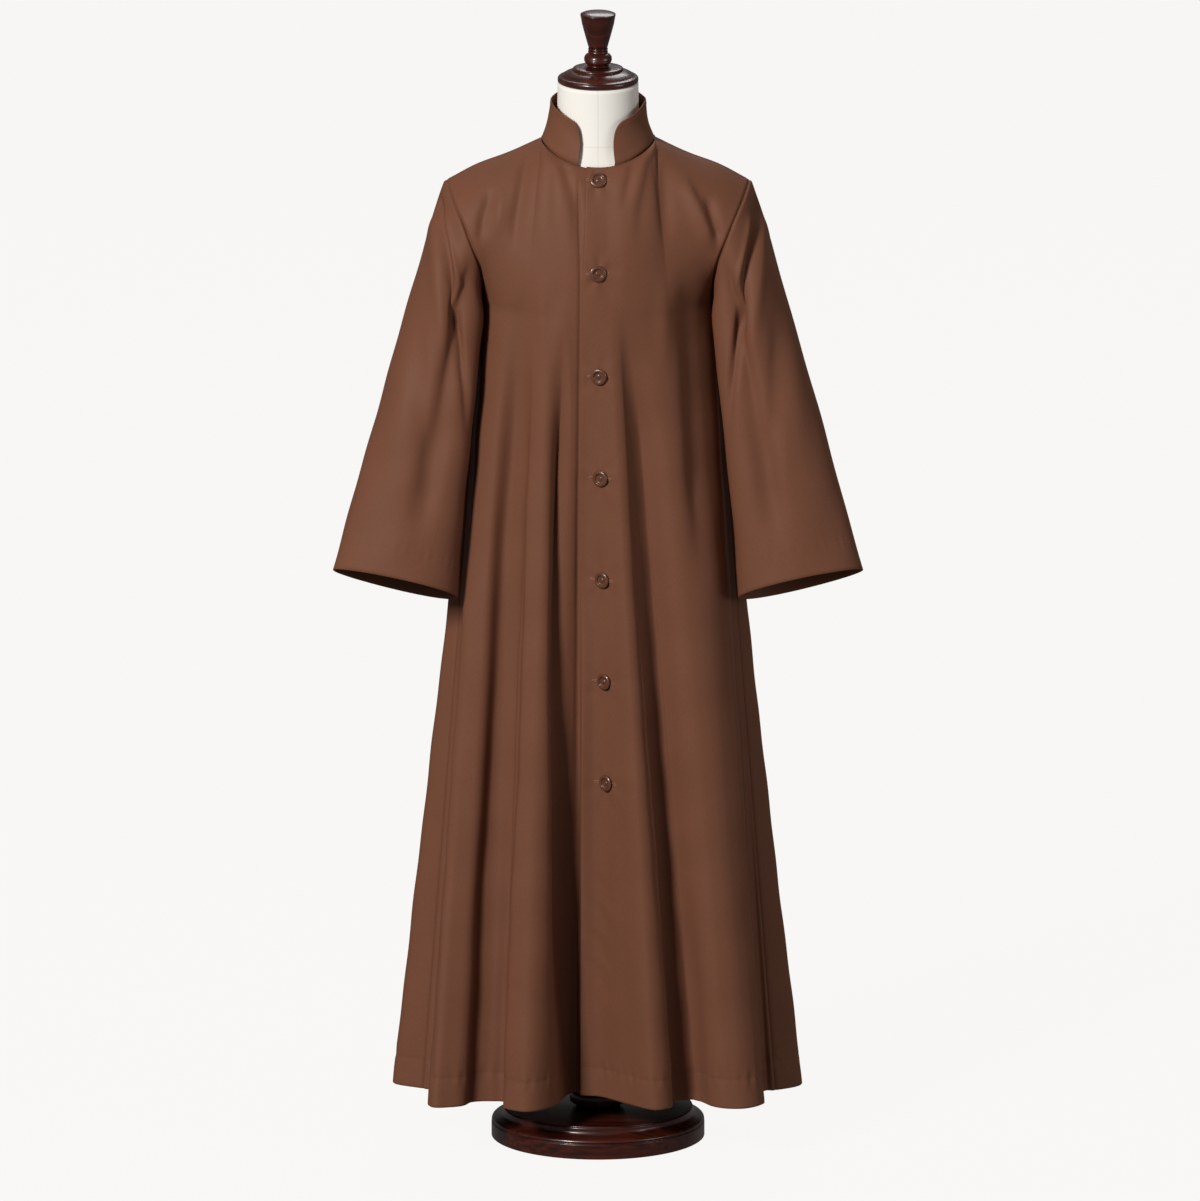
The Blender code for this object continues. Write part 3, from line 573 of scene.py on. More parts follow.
def gabardine():
    """Polyester gabardine, woven in a steep twill and pressed: smooth, dense, with a soft sheen on its folds.

    The twill's ribs are 0.4 mm apart, and are drawn as slivers 1 mm wide and 6 mm long so that they show.
    """
    made, tree, shader = finish(
        "brown_gabardine", "744a37", 0.60, Specular_IOR_Level=0.14, Sheen_Weight=0.04, Sheen_Roughness=0.4,
        Sheen_Tint=srgb("a86f50"),
    )
    place = node(tree, "ShaderNodeUVMap", uv_map="cloth")
    slanted = node(tree, "ShaderNodeMapping", {"Vector": place.outputs["UV"]},
                   {"Rotation": (0, 0, math.radians(-27)), "Scale": (1000.0, 160.0, 1.0)})
    ribs = node(tree, "ShaderNodeTexNoise", {"Vector": slanted.outputs["Vector"]},
                {"Scale": 1.0, "Detail": 1.0, "Roughness": 0.5})
    shade = node(tree, "ShaderNodeTexNoise", {"Vector": place.outputs["UV"]}, {"Scale": 11.0, "Detail": 3.0})
    weave = node(tree, "ShaderNodeMix", {"Factor": shade.outputs["Fac"]},
                 {"A": srgb("704734"), "B": srgb("794d39")}, data_type="RGBA")
    threads = node(tree, "ShaderNodeMapRange", {"Value": ribs.outputs["Fac"]},
                   {"From Min": 0.3, "From Max": 0.7, "To Min": 0.93, "To Max": 1.05})
    tinted = node(tree, "ShaderNodeMix", {"A": weave.outputs["Result"], "B": threads.outputs["Result"]},
                  {"Factor": 1.0}, data_type="RGBA", blend_type="MULTIPLY")
    tree.links.new(tinted.outputs["Result"], shader.inputs["Base Color"])
    bump = node(tree, "ShaderNodeBump", {"Height": ribs.outputs["Fac"]},
                {"Strength": 0.12, "Distance": 0.0003})
    tree.links.new(bump.outputs["Normal"], shader.inputs["Normal"])
    return made


cloth = gabardine()
HEM_BAND = 0.05
HEM_LEVELS = np.linspace(0, HEM_BAND, 22, endpoint=False)
SKIRT_LEVELS = np.append(HEM_LEVELS, np.linspace(HEM_BAND, 1, 128, endpoint=False))
YOKE_RISES = np.linspace(0, 1, 48)
LEVELS = np.concatenate([SKIRT_LEVELS, 1 + YOKE_RISES])
# How deep the cloth rolls in at its seams, and over how much of it
SEAM_ROLL = 0.0022
SEAM_REACH = 0.0035
ARMHOLE_ROLL = 0.0036
ARMHOLE_REACH = 0.0025
# Depth of the hem. Puckers by its stitches: two lengths along it, height, reach. Their groove: depth, reach
HEM_DEPTH = 0.043
HEM_PUCKERS = (0.0031, 0.017, 0.0008, 0.012)
STITCH_GROOVE = (0.0005, 0.0025)


def spread(first, last, count, behind=False):
    """Angles of a panel's columns, even along the sum of its lengths at the hem, midway and the chest."""
    angles = np.linspace(first, last, 2000)
    run = sum(run_along(smooth_body(angles, level, behind)) for level in (0.0, 0.5, 1.0))
    return np.interp(np.linspace(0, run[-1], count), run, angles)


def panel(name, angles, behind=False, dip=0.0):
    """One cut piece of the body between its first and last angle.

    It is the draped body, rolled in at its seams, puckered where its hem is sewn, and moved off its seams.
    """
    grid, facing = draped_body(angles[:, None], LEVELS[None, :], behind)
    moves = np.zeros_like(facing)
    inward = (0, SEAM / 2 if behind else -SEAM / 2, 0)
    slope = SHOULDER_TIP - NECK_POINT
    from_front = (angles + 180) % 360 - 180
    sides = np.where(from_front < 0, -1.0, 1.0)
    in_from_side = (np.abs(from_front) - 90 if behind else 90 - np.abs(from_front)) / 90
    seam = in_from_side <= SHOULDER_SHARE
    facing[seam, -1] = unit(vectors(-slope[2] * sides, 0, slope[0]))[seam]
    moves[:, -1] = inward
    u, v = along_grid(grid)
    roll = bell((v[:, -1:] - v) / SEAM_REACH)
    for column in np.flatnonzero(in_from_side < 1e-6):
        turns = 180 + 180 * YOKE_RISES * (1 if behind else -1)
        through, across = armhole_seam(turns, sides[column])
        moves[column] = inward
        facing[column, -len(turns):] = through
        moves[column, -len(turns):] = -across * SEAM / 2
        moves[column, [-len(turns), -1]] += inward
        depth = np.where(LEVELS < 1, 1.0, ARMHOLE_ROLL / SEAM_ROLL)
        roll = np.maximum(roll, depth * bell((u - u[column]) / ARMHOLE_REACH))
    short, long, height, reach = HEM_PUCKERS
    pucker = (np.sin(u / short) * np.sin(u / long) - 0.5) * height * bell((v - HEM_DEPTH) / reach)
    pucker = pucker - STITCH_GROOVE[0] * bell((v - HEM_DEPTH) / STITCH_GROOVE[1])
    grid = grid + moves + facing * (pucker - roll * SEAM_ROLL - np.reshape(dip, (-1, 1)))[..., None]
    grid = grid + rounded_shoulder(grid)
    cut_piece(name, grid, facing)
    return grid, facing


left_angles = spread(OVER_EDGE, 90, 230)
left_grid, left_facing = panel("front_left", left_angles)
right_angles = spread(-90, UNDER_EDGE, 230)
under = (CLOTH + LAYER) * ease((right_angles - UNDER_FROM) / (UNDER_FULL - UNDER_FROM))
right_grid, right_facing = panel("front_right", right_angles, dip=under)
back_angles = spread(90, 270, 240, True)
back_grid, back_facing = panel("back", back_angles, behind=True)

# ---------------------------------------------------------------- sleeves
# Wide one-piece sleeves of the same cloth, set into the armholes, hanging forward, with plain hemmed cuffs.

CUFF_CENTRE = np.array((0.304, -0.095, 0.8735))
CUFF_OUT = np.array((0.093, 0.0, 0.0215))
CUFF_FORE = np.array((0.0, -0.063, 0.025))
SLEEVE_HEAD = 0.25
# Angle round the sleeve, half width, height and reach of the bulges and hollows below the armhole
SLEEVE_FOLDS = (
    (104, 15, -0.011, 1.00),
    (146, 24, 0.015, 1.00),
    (262, 22, -0.012, 0.60),
    (228, 16, 0.009, 0.50),
)
# Creases as seen from the front, for the wearer's left sleeve: as the fronts' folds
SLEEVE_CREASES = (
    (((0.240, 1.462), (0.2375, 1.44), (0.2345, 1.41), (0.224, 1.36), (0.212, 1.27), (0.198, 1.17),
      (0.192, 1.06)), -0.010, 0.006, 0.007, (0.50, 0.06)),
    (((0.229, 1.44), (0.225, 1.41), (0.214, 1.36), (0.200, 1.30)), 0.0035, 0.005, 0.005, (0.4, 0.2)),
    (((0.252, 1.45), (0.247, 1.40), (0.236, 1.30), (0.226, 1.18)), 0.0050, 0.008, 0.012, (0.5, 0.2)),
    (((0.262, 1.36), (0.270, 1.24), (0.262, 1.12), (0.250, 1.00)), -0.0045, 0.014, 0.018, (0.4, 0.4)),
    (((0.285, 1.25), (0.318, 1.00)), 0.0025, 0.018, 0.020, (0.4, 0.4)),
    (((0.232, 1.15), (0.246, 1.08), (0.268, 0.95)), -0.0060, 0.018, 0.020, (0.4, 0.4)),
)
# Fullness under the arm, which rests against the body: its height, its half width in degrees, and how far
# down the sleeve it lies and reaches
UNDERARM_FULL = (0.0045, 30, 0.035, 0.03)
# The cuff's mean radius and the depth of its hem, with puckers as at the other hem
CUFF_RADIUS = 0.09
CUFF_HEM = 0.043
CUFF_PUCKERS = (0.0024, 0.013, 0.0004, 0.010)


def cuff(turn, side):
    """An oval that tapers to a point at its outer end, higher in front than behind."""
    a = np.radians(turn)
    fore = np.sin(a) * (1 - 0.28 * (1 + np.cos(a)) / 2)
    return (CUFF_CENTRE + np.cos(a)[:, None] * CUFF_OUT + fore[:, None] * CUFF_FORE) * (side, 1, 1)


def smooth_sleeve(turns, downs, side):
    """Hermite curves from the armhole to the cuff, moved along their normals by the bulges and hollows."""
    start, end = armhole(turns, side), cuff(turns, side)
    leaves, arrives = sleeve_leaves(turns, side), (end - start) * 1.05
    rings = [hermite(start, leaves, end, arrives, np.full(turns.shape, down)) for down in downs]
    grid = np.stack(rings, axis=1)
    facing = normals(grid, closed=True) * side
    for centre, width, height, reach in SLEEVE_FOLDS:
        round_it = bell((turns - centre) / width)
        down_it = np.sin(np.pi * np.clip(downs / reach, 0, 1) ** 0.7) * ease(downs / SLEEVE_HEAD)
        grid = grid + facing * (height * round_it[:, None] * down_it[None, :])[..., None]
    return grid


def make_sleeve(name, side, seed):
    """One sleeve: the smooth one with creases in front and behind, ripples, and a rolled armhole seam."""
    turns = np.linspace(0, 360, 156, endpoint=False)
    downs = np.linspace(0, 1, 128) ** 1.2
    grid = smooth_sleeve(turns, downs, side)
    facing = normals(grid, closed=True) * side
    seen = grid * (side, 1, 1)
    height = sum(fold(seen, *each) for each in SLEEVE_CREASES)
    height = height * (ease(-facing[..., 1] * 2) + 0.6 * ease(facing[..., 1] * 2))
    uneven = ripples(seen[..., 0] + seen[..., 1], seen[..., 2], seed, (0.27, 0.19, 0.13, 0.09), 0.0009)
    v = run_along(grid.swapaxes(0, 1)).T
    u = np.radians(turns)[:, None] * CUFF_RADIUS
    short, long, high, reach = CUFF_PUCKERS
    pucker = np.sin(u / short) * np.sin(u / long) * bell((v[:, -1:] - v - CUFF_HEM) / reach) * high
    roll = ARMHOLE_ROLL * bell(v / ARMHOLE_REACH)
    full, half_width, down, reach = UNDERARM_FULL
    under = full * bell((turns - 180) / half_width)[:, None] * bell((v - down) / reach)
    grid = grid + facing * ((height + uneven) * ease(v / 0.025) + under * ease(v / 0.012) + pucker)[..., None]
    facing[:, 0], across = armhole_seam(turns, side)
    grid = grid - facing * roll[..., None]
    grid[:, 0] += across * SEAM / 2
    grid = grid + rounded_shoulder(grid)
    if side < 0:
        grid, facing = grid[::-1], facing[::-1]
    # From the cuff up, so that the rows run the same way as the body's
    grid, facing = grid[::-1, ::-1], facing[::-1, ::-1]
    cut_piece(name, grid, facing, closed=True)
    return grid, facing


cuffs = [make_sleeve("sleeve_left", 1, 5), make_sleeve("sleeve_right", -1, 6)]

# ---------------------------------------------------------------- collar
# A stand band of the same cloth, interlined so that it stands, with rounded ends that leave the throat open.

COLLAR_HEIGHT = 0.058
COLLAR_FRONT_HEIGHT = 0.016
COLLAR_CORNER = 0.022
COLLAR_LEAN = np.array((0.013, 0.007, 0.0))
COLLAR_ENDS = (17.8, 339.3)
# Depth and reach of the roll at its foot, and how far its foot is tucked in and down inside the neckline
FOOT_ROLL = (0.0010, 0.003)
TUCK = (0.0016, 0.0030)


def collar_height(from_end):
    """Straight up at the ends, then a round corner of power 2.5, then the full height."""
    in_corner = np.clip(1 - from_end / COLLAR_CORNER, 0, 1)
    return COLLAR_FRONT_HEIGHT + (COLLAR_HEIGHT - COLLAR_FRONT_HEIGHT) * (1 - in_corner**2.5) ** 0.4


first, last = COLLAR_ENDS
corner = math.degrees(COLLAR_CORNER / NECK_FRONT)
steps = 1 - np.cos(np.linspace(0, math.pi / 2, 18))
turns = np.concatenate([
    first + corner * steps, np.linspace(first + corner, last - corner, 150)[1:-1], last - corner * steps[::-1]
])
foot = neckline(turns)
from_end = np.radians(np.minimum(turns - first, last - turns)) * NECK_FRONT
inward = -foot * (1, 1, 0) / np.array((NECK_POINT[0], NECK_FRONT, 1))
lifts = collar_height(from_end)[:, None] * np.linspace(0, 1, 32)
lean = (1 - (1 - lifts / COLLAR_HEIGHT) ** 2.2)[..., None] * COLLAR_LEAN
collar_grid = foot[:, None] + inward[:, None] * lean
collar_grid[..., 2] += SEAM * 1.5 + lifts
collar_facing = normals(collar_grid)
uneven = ripples(turns[:, None] * 0.0015, lifts, 9, (0.09, 0.06, 0.045), 0.0005) * ease(lifts / 0.02)
foot_roll = FOOT_ROLL[0] * bell(lifts / FOOT_ROLL[1])
collar_grid = collar_grid + collar_facing * (uneven - foot_roll)[..., None]
tucked = collar_grid[:, :1] - collar_facing[:, :1] * TUCK[0] * np.array((0.6, 1.0))[None, :, None]
tucked[..., 2] -= TUCK[1] * np.array((1.0, 0.5))
collar_grid = np.concatenate([tucked, collar_grid], axis=1)
collar_facing = np.concatenate([collar_facing[:, :1]] * 2 + [collar_facing], axis=1)
cut_piece("collar", collar_grid, collar_facing)

# ---------------------------------------------------------------- stitching
# Lockstitch in a brown polyester thread a shade lighter than the cloth: along the hem, both cuffs, the back
# edge of the closing's facing and the collar's edge. Each stitch is a lozenge whose ends meet the cloth.

STITCH_PITCH = 0.0034
STITCH_LENGTH = 0.0026
THREAD = 0.00032
# The left front covers the right one's stitches beyond this x
CLOSING_EDGE_X = -0.030
# Spun polyester thread: matt, with a faint gloss
thread, _, _ = finish("polyester_thread", "8a5c46", 0.5, Specular_IOR_Level=0.35)


def line_on(grid, facing, height):
    """Places and normals at one height above a grid's first row, each read up its own column."""
    v = along_grid(grid)[1]
    row = np.argmax(v > height, axis=1)
    column = np.arange(len(grid))
    low, high = v[column, row - 1], v[column, row]
    t = ((height - low) / (high - low))[:, None]
    return (grid[column, row - 1] * (1 - t) + grid[column, row] * t,
            unit(facing[column, row - 1] * (1 - t) + facing[column, row] * t))


def stitches(name, line, facing, last_x=math.inf):
    """Octahedra of stitch length at every pitch along a line, up to last_x, with long axes along it."""
    run = run_along(line)
    at = np.arange(STITCH_PITCH, run[-1] - STITCH_PITCH, STITCH_PITCH)
    centre, out = read_at(at, run, line), unit(read_at(at, run, facing))
    along = unit(read_at(at, run, np.gradient(line, run, axis=0)))
    keep = centre[:, 0] <= last_x
    centre, out, along = centre[keep], out[keep], along[keep]
    side = unit(np.cross(out, along))
    along = unit(np.cross(side, out))
    half, thin = STITCH_LENGTH / 2, THREAD
    corners = np.stack([
        centre + along * half, centre + side * thin, centre - along * half, centre - side * thin,
        centre + out * thin * 1.3, centre - out * thin,
    ], axis=1).reshape(-1, 3)
    one = np.array([(0, 1, 4), (1, 2, 4), (2, 3, 4), (3, 0, 4), (1, 0, 5), (2, 1, 5), (3, 2, 5), (0, 3, 5)])
    faces = (one[None] + 6 * np.arange(len(centre))[:, None, None]).reshape(-1, 3)
    made = mesh_object(name, corners, faces, thread)


stitches("hem_stitches_left", *line_on(left_grid, left_facing, HEM_DEPTH))
stitches("hem_stitches_right", *line_on(right_grid, right_facing, HEM_DEPTH), CLOSING_EDGE_X)
stitches("hem_stitches_back", *line_on(back_grid, back_facing, HEM_DEPTH))
for name, (grid, facing) in zip(("cuff_stitches_left", "cuff_stitches_right"), cuffs):
    line, out = line_on(grid, facing, CUFF_HEM)
    stitches(name, np.append(line, line[:1], axis=0), np.append(out, out[:1], axis=0))


def on_front(x, z):
    """Angle and level of the place on the draped left front at x and z, by Newton's steps, each limited."""
    angle = np.degrees(np.arcsin(np.clip(x / CHEST_HALF_WIDTH, -1, 1))) * np.ones_like(z)
    level = np.where(z < CHEST_Z, (z - HEM_Z) / (CHEST_Z - HEM_Z), 1 + (z - CHEST_Z) / 0.22)
    for _ in range(16):
        place = draped_body(angle, level)[0]
        beside, above = draped_body(angle + 0.2, level)[0], draped_body(angle, level + 0.004)[0]
        turn = 0.2 * (x - place[..., 0]) / (beside - place)[..., 0]
        rise = 0.004 * (z - place[..., 2]) / (above - place)[..., 2]
        angle = np.clip(angle + np.clip(turn, -2, 2), -12, 40)
        level = np.clip(level + np.clip(rise, -0.1, 0.1), 0.0, 1.99)
    return angle, level


FACING_EDGE = 0.0285
heights = np.linspace(HEM_Z + 0.002, 1.505, 400)
line, out = draped_body(*on_front(np.full_like(heights, FACING_EDGE), heights))
stitches("facing_stitches", line, out)
edge_line = collar_grid[2:-2, -1] - np.array((0.0, 0.0, 0.005))
stitches("collar_stitches", edge_line - inward[2:-2] * 0.0008, collar_facing[2:-2, -4])

# ---------------------------------------------------------------- buttons and buttonholes
# Seven turned buttons of brown polyester resin with a thick rim, a dished face and a boss, each through a
# horizontal buttonhole bound in satin stitch.

BUTTON_RADIUS = 0.0125
BUTTON_THICK = 0.0046


def closed_rings(name, rings, middles, material):
    """Triangles over rings (side, row, point) that run from the top down, closed by fans to two middles."""
    sides, rows = rings.shape[:2]
    i = np.arange(sides) * rows
    k = np.roll(i, -1)
    quads = grid_faces(sides, rows, True, flip=True)
    top, bottom = np.full(sides, sides * rows), np.full(sides, sides * rows + 1)
    faces = np.concatenate([
        quads[:, [0, 1, 2]], quads[:, [0, 2, 3]],
        np.stack([top, i, k], axis=1), np.stack([bottom, k + rows - 1, i + rows - 1], axis=1),
    ])
    return mesh_object(name, np.concatenate([rings.reshape(-1, 3), middles]), faces, material)


def full_turn(count):
    """Radians once round, in that many steps."""
    return np.linspace(0, 2 * np.pi, count, endpoint=False)


def turned(name, profile, sides, material, place, axis=(0, 0, 1), crown=0.0):
    """Spins a profile of (radius, height) points that runs down the outside, and closes it at both ends.

    Heights run along the axis from the place. The top's middle rises by the crown.
    """
    turn = full_turn(sides)[:, None]
    radius, height = profile.T
    rings = vectors(np.cos(turn) * radius, np.sin(turn) * radius, height)
    middles = np.array([(0, 0, height[0] + crown), (0, 0, height[-1])])
    tilt = np.array(Vector(axis).to_track_quat("Z", "Y").to_matrix())
    return closed_rings(name, rings @ tilt.T + place, middles @ tilt.T + place, material)


def curve(*spans, count=7):
    """Profile points through spans of (start, control, end), each read as a quadratic Bezier."""
    t = np.linspace(0, 1, count)[:, None]
    starts, controls, ends = (np.array(points)[:, None] for points in zip(*spans))
    return ((1 - t) ** 2 * starts + 2 * t * (1 - t) * controls + t**2 * ends).reshape(-1, 2)


def button_resin():
    """Polyester resin, turned and tumbled to a soft gloss, with the faint cloudy streaks of horn."""
    made, tree, shader = finish("button_resin", "5c3627", 0.30, Coat_Weight=0.35, Coat_Roughness=0.16)
    place = node(tree, "ShaderNodeTexCoord")
    cloud = node(tree, "ShaderNodeTexNoise", {"Vector": place.outputs["Object"]},
                 {"Scale": 170.0, "Detail": 3.0, "Distortion": 0.6})
    mixed = node(tree, "ShaderNodeMix", {"Factor": cloud.outputs["Fac"]},
                 {"A": srgb("53301f"), "B": srgb("6d4431")}, data_type="RGBA")
    tree.links.new(mixed.outputs["Result"], shader.inputs["Base Color"])
    return made


resin = button_resin()
# From the face's boss to the back, in shares of the radius and the thickness
button_profile = np.array((BUTTON_RADIUS, BUTTON_THICK)) * curve(
    ((0.06, 0.66), (0.20, 0.66), (0.25, 0.50)),
    ((0.27, 0.40), (0.34, 0.36), (0.48, 0.42)),
    ((0.52, 0.44), (0.58, 0.50), (0.60, 0.72)),
    ((0.63, 1.00), (0.78, 1.04), (0.90, 0.90)),
    ((0.92, 0.86), (1.02, 0.70), (1.00, 0.45)),
    ((0.99, 0.25), (0.94, 0.0), (0.84, 0.0)),
)
# Half the buttonhole's length and height, its thread's radius, and the points along and round that
BUTTONHOLE = (0.0165, 0.0016, 0.0008)
HOLE_POINTS, THREAD_POINTS = 56, 8
turn = full_turn(HOLE_POINTS)
hole_x = np.clip(1.25 * np.cos(turn), -1, 1) * BUTTONHOLE[0]
hole_z = np.sin(turn) * np.minimum(1, 1.6 * np.abs(np.sin(turn)) + 0.2) * BUTTONHOLE[1]
round_thread = full_turn(THREAD_POINTS)[None, :, None]
ring = np.arange(HOLE_POINTS * THREAD_POINTS).reshape(HOLE_POINTS, THREAD_POINTS)
after = np.roll(ring, -1, 0)
tube_faces = np.stack([ring, after, np.roll(after, -1, 1), np.roll(ring, -1, 1)], axis=-1).reshape(-1, 4)
for number in range(1, 8):
    name = f"button_{number}"
    low, high = (np.array(corner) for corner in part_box(name))
    centre = (low + high) / 2
    angle, level = on_front(np.array([centre[0]]), np.array([centre[2]]))
    facing = outward(np.zeros(1), level, False)[0]
    made = turned(name + "_turned", button_profile, 64, resin, centre - facing * BUTTON_THICK / 2, facing)
    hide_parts(name)
    places, out = draped_body(*on_front(centre[0] + hole_x, centre[2] + hole_z))
    along = unit(np.roll(places, -1, 0) - np.roll(places, 1, 0))
    side = np.cross(along, out)
    away = np.cos(round_thread) * out[:, None] * 0.7 - np.sin(round_thread) * side[:, None]
    tube = (places[:, None] + BUTTONHOLE[2] * away).reshape(-1, 3)
    bound = mesh_object(f"buttonhole_{number}", tube, tube_faces, thread)

# ---------------------------------------------------------------- dress form
# A padded torso from neck to hips, without arms or legs, covered in cream cotton that is seamed down its
# middle and round the foot of its neck. It stands on the pole, and the cassock hangs from its shoulders.

(_, _, FORM_BOTTOM_Z), (_, _, NECK_TOP_Z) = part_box("form_torso")
NECK_RADIUS = 0.0605
NECK_SEAM_Z = 1.536
# Height, half width, depth in front and depth behind of its sections
FORM_SECTIONS = (
    (NECK_TOP_Z, 0.0605, 0.0595, 0.0595), (1.585, 0.061, 0.0605, 0.0605), (1.555, 0.0625, 0.0625, 0.0625),
    (1.535, 0.0675, 0.0645, 0.0625), (1.521, 0.088, 0.066, 0.062), (1.508, 0.118, 0.068, 0.064),
    (1.493, 0.152, 0.071, 0.067), (1.478, 0.184, 0.073, 0.070), (1.462, 0.206, 0.076, 0.073),
    (1.440, 0.210, 0.080, 0.077), (1.400, 0.190, 0.088, 0.086), (1.350, 0.166, 0.101, 0.096),
    (1.300, 0.156, 0.112, 0.104), (1.230, 0.153, 0.116, 0.107), (1.140, 0.142, 0.108, 0.098),
    (1.060, 0.136, 0.102, 0.093), (0.980, 0.148, 0.106, 0.102), (FORM_BOTTOM_Z + 0.012, 0.160, 0.108, 0.110),
    (FORM_BOTTOM_Z, 0.150, 0.098, 0.100),
)


def seam_shade(tree, distance, before, half=0.0004, soft=0.0013, dark=0.90):
    """Multiplies a shade by a thin line: dark where the distance is under half, and 1 beyond soft."""
    away = node(tree, "ShaderNodeMath", {0: distance}, operation="ABSOLUTE")
    line = node(tree, "ShaderNodeMapRange", {"Value": away.outputs[0]},
                {"From Min": half, "From Max": soft, "To Min": dark, "To Max": 1.0},
                interpolation_type="SMOOTHSTEP")
    return node(tree, "ShaderNodeMath", {0: line.outputs[0], 1: before}, operation="MULTIPLY").outputs[0]


def cotton_cover():
    """Plain cream cotton drawn tight over padding: matt, with a faint uneven weave and two fine seams."""
    made, tree, shader = finish("cream_cotton", "f6f1e8", 0.85, Specular_IOR_Level=0.2, Sheen_Weight=0.05)
    place = node(tree, "ShaderNodeTexCoord")
    parts = node(tree, "ShaderNodeSeparateXYZ", {"Vector": place.outputs["Object"]})
    weave = node(tree, "ShaderNodeTexNoise", {"Vector": place.outputs["Object"]},
                 {"Scale": 900.0, "Detail": 1.0})
    plain = node(tree, "ShaderNodeMapRange", {"Value": weave.outputs["Fac"]},
                 {"To Min": 0.96, "To Max": 1.02})
    above = node(tree, "ShaderNodeMath", {0: parts.outputs["Z"]}, {1: NECK_SEAM_Z}, operation="SUBTRACT")
    shade = seam_shade(tree, parts.outputs["X"], plain.outputs[0])
    shade = seam_shade(tree, above.outputs[0], shade)
    tint = node(tree, "ShaderNodeMix", {"B": shade}, {"Factor": 1.0, "A": srgb("f8f3ea")},
                data_type="RGBA", blend_type="MULTIPLY")
    tree.links.new(tint.outputs["Result"], shader.inputs["Base Color"])
    bump = node(tree, "ShaderNodeBump", {"Height": shade}, {"Strength": 0.5, "Distance": 0.0006})
    tree.links.new(bump.outputs["Normal"], shader.inputs["Normal"])
    return made


sections = np.array(FORM_SECTIONS)
run = run_along(sections[:, :2])
fine = smooth_curve(run, sections, np.linspace(0, run[-1], 160))
turn = full_turn(96)[:, None]
deep = np.where(np.cos(turn) > 0, fine[:, 2], fine[:, 3])
rings = vectors(fine[:, 1] * np.sin(turn), -deep * np.cos(turn), fine[:, 0])
torso = closed_rings("form_cover", rings, [(0, 0, NECK_TOP_Z), (0, 0, FORM_BOTTOM_Z)], cotton_cover())
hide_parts("form_torso")

# ---------------------------------------------------------------- neck cap, finial and stand
# Turned mahogany, stained dark and French polished: the cap and the knob on the neck, the column, and a round
# base with an ogee edge. The parts are screwed together on a steel rod that cannot be seen.


def mahogany():
    """Dark red-brown wood: long streaks along the grain, and a soft polish over them."""
    made, tree, shader = finish(
        "polished_mahogany", "38160d", 0.32, Specular_IOR_Level=0.4, Coat_Weight=0.35, Coat_Roughness=0.14)
    place = node(tree, "ShaderNodeTexCoord")
    drawn = node(tree, "ShaderNodeMapping", {"Vector": place.outputs["Object"]},
                 {"Scale": (9.0, 120.0, 160.0)})
    streaks = node(tree, "ShaderNodeTexNoise", {"Vector": drawn.outputs["Vector"]},
                   {"Scale": 1.0, "Detail": 4.0, "Roughness": 0.5, "Distortion": 0.3})
    shades = node(tree, "ShaderNodeValToRGB", {"Fac": streaks.outputs["Fac"]})
    shades.color_ramp.elements[0].position = 0.30
    shades.color_ramp.elements[0].color = srgb("240b06")
    shades.color_ramp.elements[1].position = 0.72
    shades.color_ramp.elements[1].color = srgb("501e12")
    tree.links.new(shades.outputs["Color"], shader.inputs["Base Color"])
    return made


wood = mahogany()


def wooden(name, profile, crown=0.0):
    """A turned wooden part in place of a CAD node, its heights measured from that node's foot."""
    made = turned(name + "_wood", profile, 128, wood, (0, 0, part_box(name)[0][2]), crown=crown)
    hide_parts(name)


def bead(radius, low, high, out):
    """A span of a profile that bulges out by a distance between two heights, from the top down."""
    middle = (low + high) / 2
    return ((radius, high), (radius + out, high), (radius + out, middle)), (
        (radius + out, middle), (radius + out, low), (radius, low))


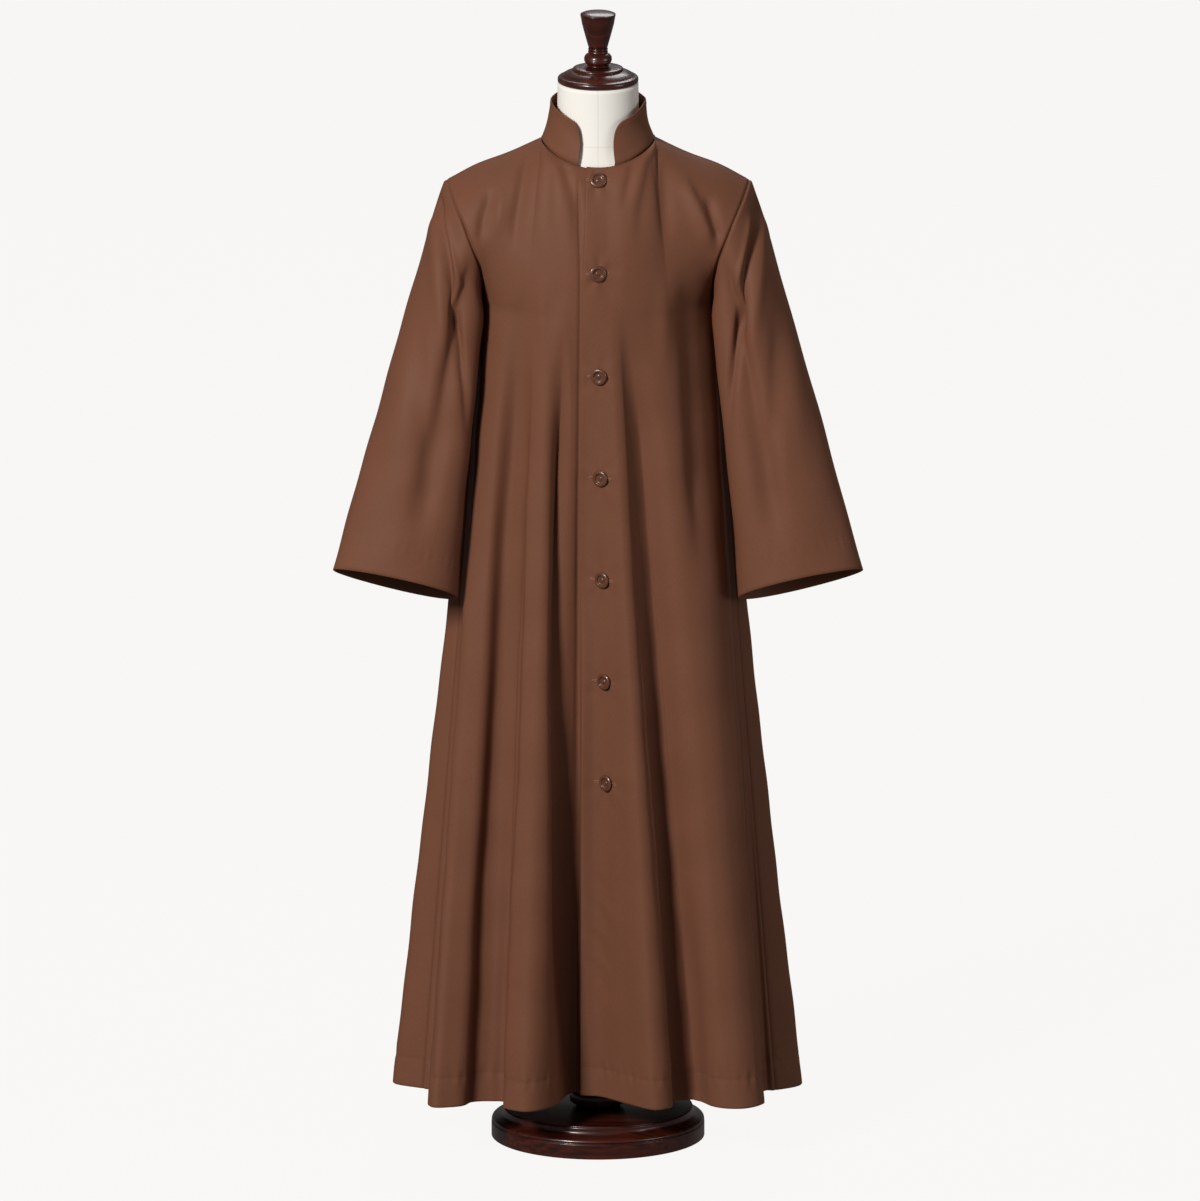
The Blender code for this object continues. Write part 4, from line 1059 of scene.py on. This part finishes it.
wooden("neck_cap", curve(
    ((0.020, 0.0243), (0.036, 0.0240), (0.0372, 0.0222)),
    ((0.0377, 0.0214), (0.0376, 0.0200), (0.0372, 0.0187)),
    ((0.0385, 0.0185), (0.0480, 0.0165), (0.0565, 0.0098)),
    ((0.0565, 0.0098), (NECK_RADIUS, 0.0095), (NECK_RADIUS, 0.0050)),
    ((NECK_RADIUS, 0.0040), (NECK_RADIUS, 0.0005), (NECK_RADIUS - 0.004, 0.0)),
), crown=0.0002)
wooden("finial", curve(
    ((0.008, 0.0835), (0.021, 0.0828), (0.0255, 0.0803)),
    ((0.0262, 0.0800), (0.0268, 0.0785), (0.0260, 0.0765)),
    ((0.0240, 0.0650), (0.0180, 0.0420), (0.0140, 0.0285)),
    *bead(0.0128, 0.0250, 0.0280, 0.0020),
    *bead(0.0125, 0.0205, 0.0243, 0.0024),
    ((0.0125, 0.0203), (0.0215, 0.0185), (0.0208, 0.0100)),
    ((0.0208, 0.0100), (0.0200, 0.0040), (0.0145, 0.0030)),
    *bead(0.0140, 0.0, 0.0028, 0.0025),
))
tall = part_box("stand_pole")[1][2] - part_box("stand_pole")[0][2]
wooden("stand_pole", np.concatenate([
    [(0.020, tall), (0.021, tall - 0.001), (0.021, tall / 2)],
    curve(((0.021, 0.090), (0.021, 0.074), (0.0270, 0.058)),
          ((0.0280, 0.055), (0.0292, 0.045), (0.0290, 0.037)),
          ((0.0290, 0.034), (0.0280, 0.031), (0.0275, 0.030)),
          ((0.0300, 0.029), (0.0425, 0.026), (0.0425, 0.0155)),
          ((0.0425, 0.0080), (0.0400, 0.0035), (0.0335, 0.0025))),
    [(0.0330, 0.0)],
]))
wide, _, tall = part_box("stand_base")[1]
wooden("stand_base", curve(
    ((0.060, tall), (0.110, tall), (0.1375, tall - 0.0003)),
    ((0.1385, tall - 0.0003), (0.1390, tall - 0.0006), (0.1391, tall - 0.0022)),
    ((0.1395, tall - 0.0022), (0.1400, tall - 0.0022), (0.1405, tall - 0.0016)),
    ((0.1420, tall - 0.0010), (0.1408, tall - 0.0105), (0.1470, tall - 0.0130)),
    ((0.1530, tall - 0.0150), (0.1590, tall - 0.0160), (wide - 0.0004, tall - 0.0200)),
    ((wide - 0.0004, tall - 0.0205), (wide - 0.0020, tall - 0.0210), (wide - 0.0020, tall - 0.0222)),
    ((wide - 0.0020, tall - 0.0230), (wide, tall - 0.0232), (wide, tall - 0.0245)),
    ((wide, tall - 0.0300), (wide, 0.0060), (wide, 0.0025)),
    ((wide, 0.0010), (wide - 0.0010, 0.0), (wide - 0.0025, 0.0)),
))
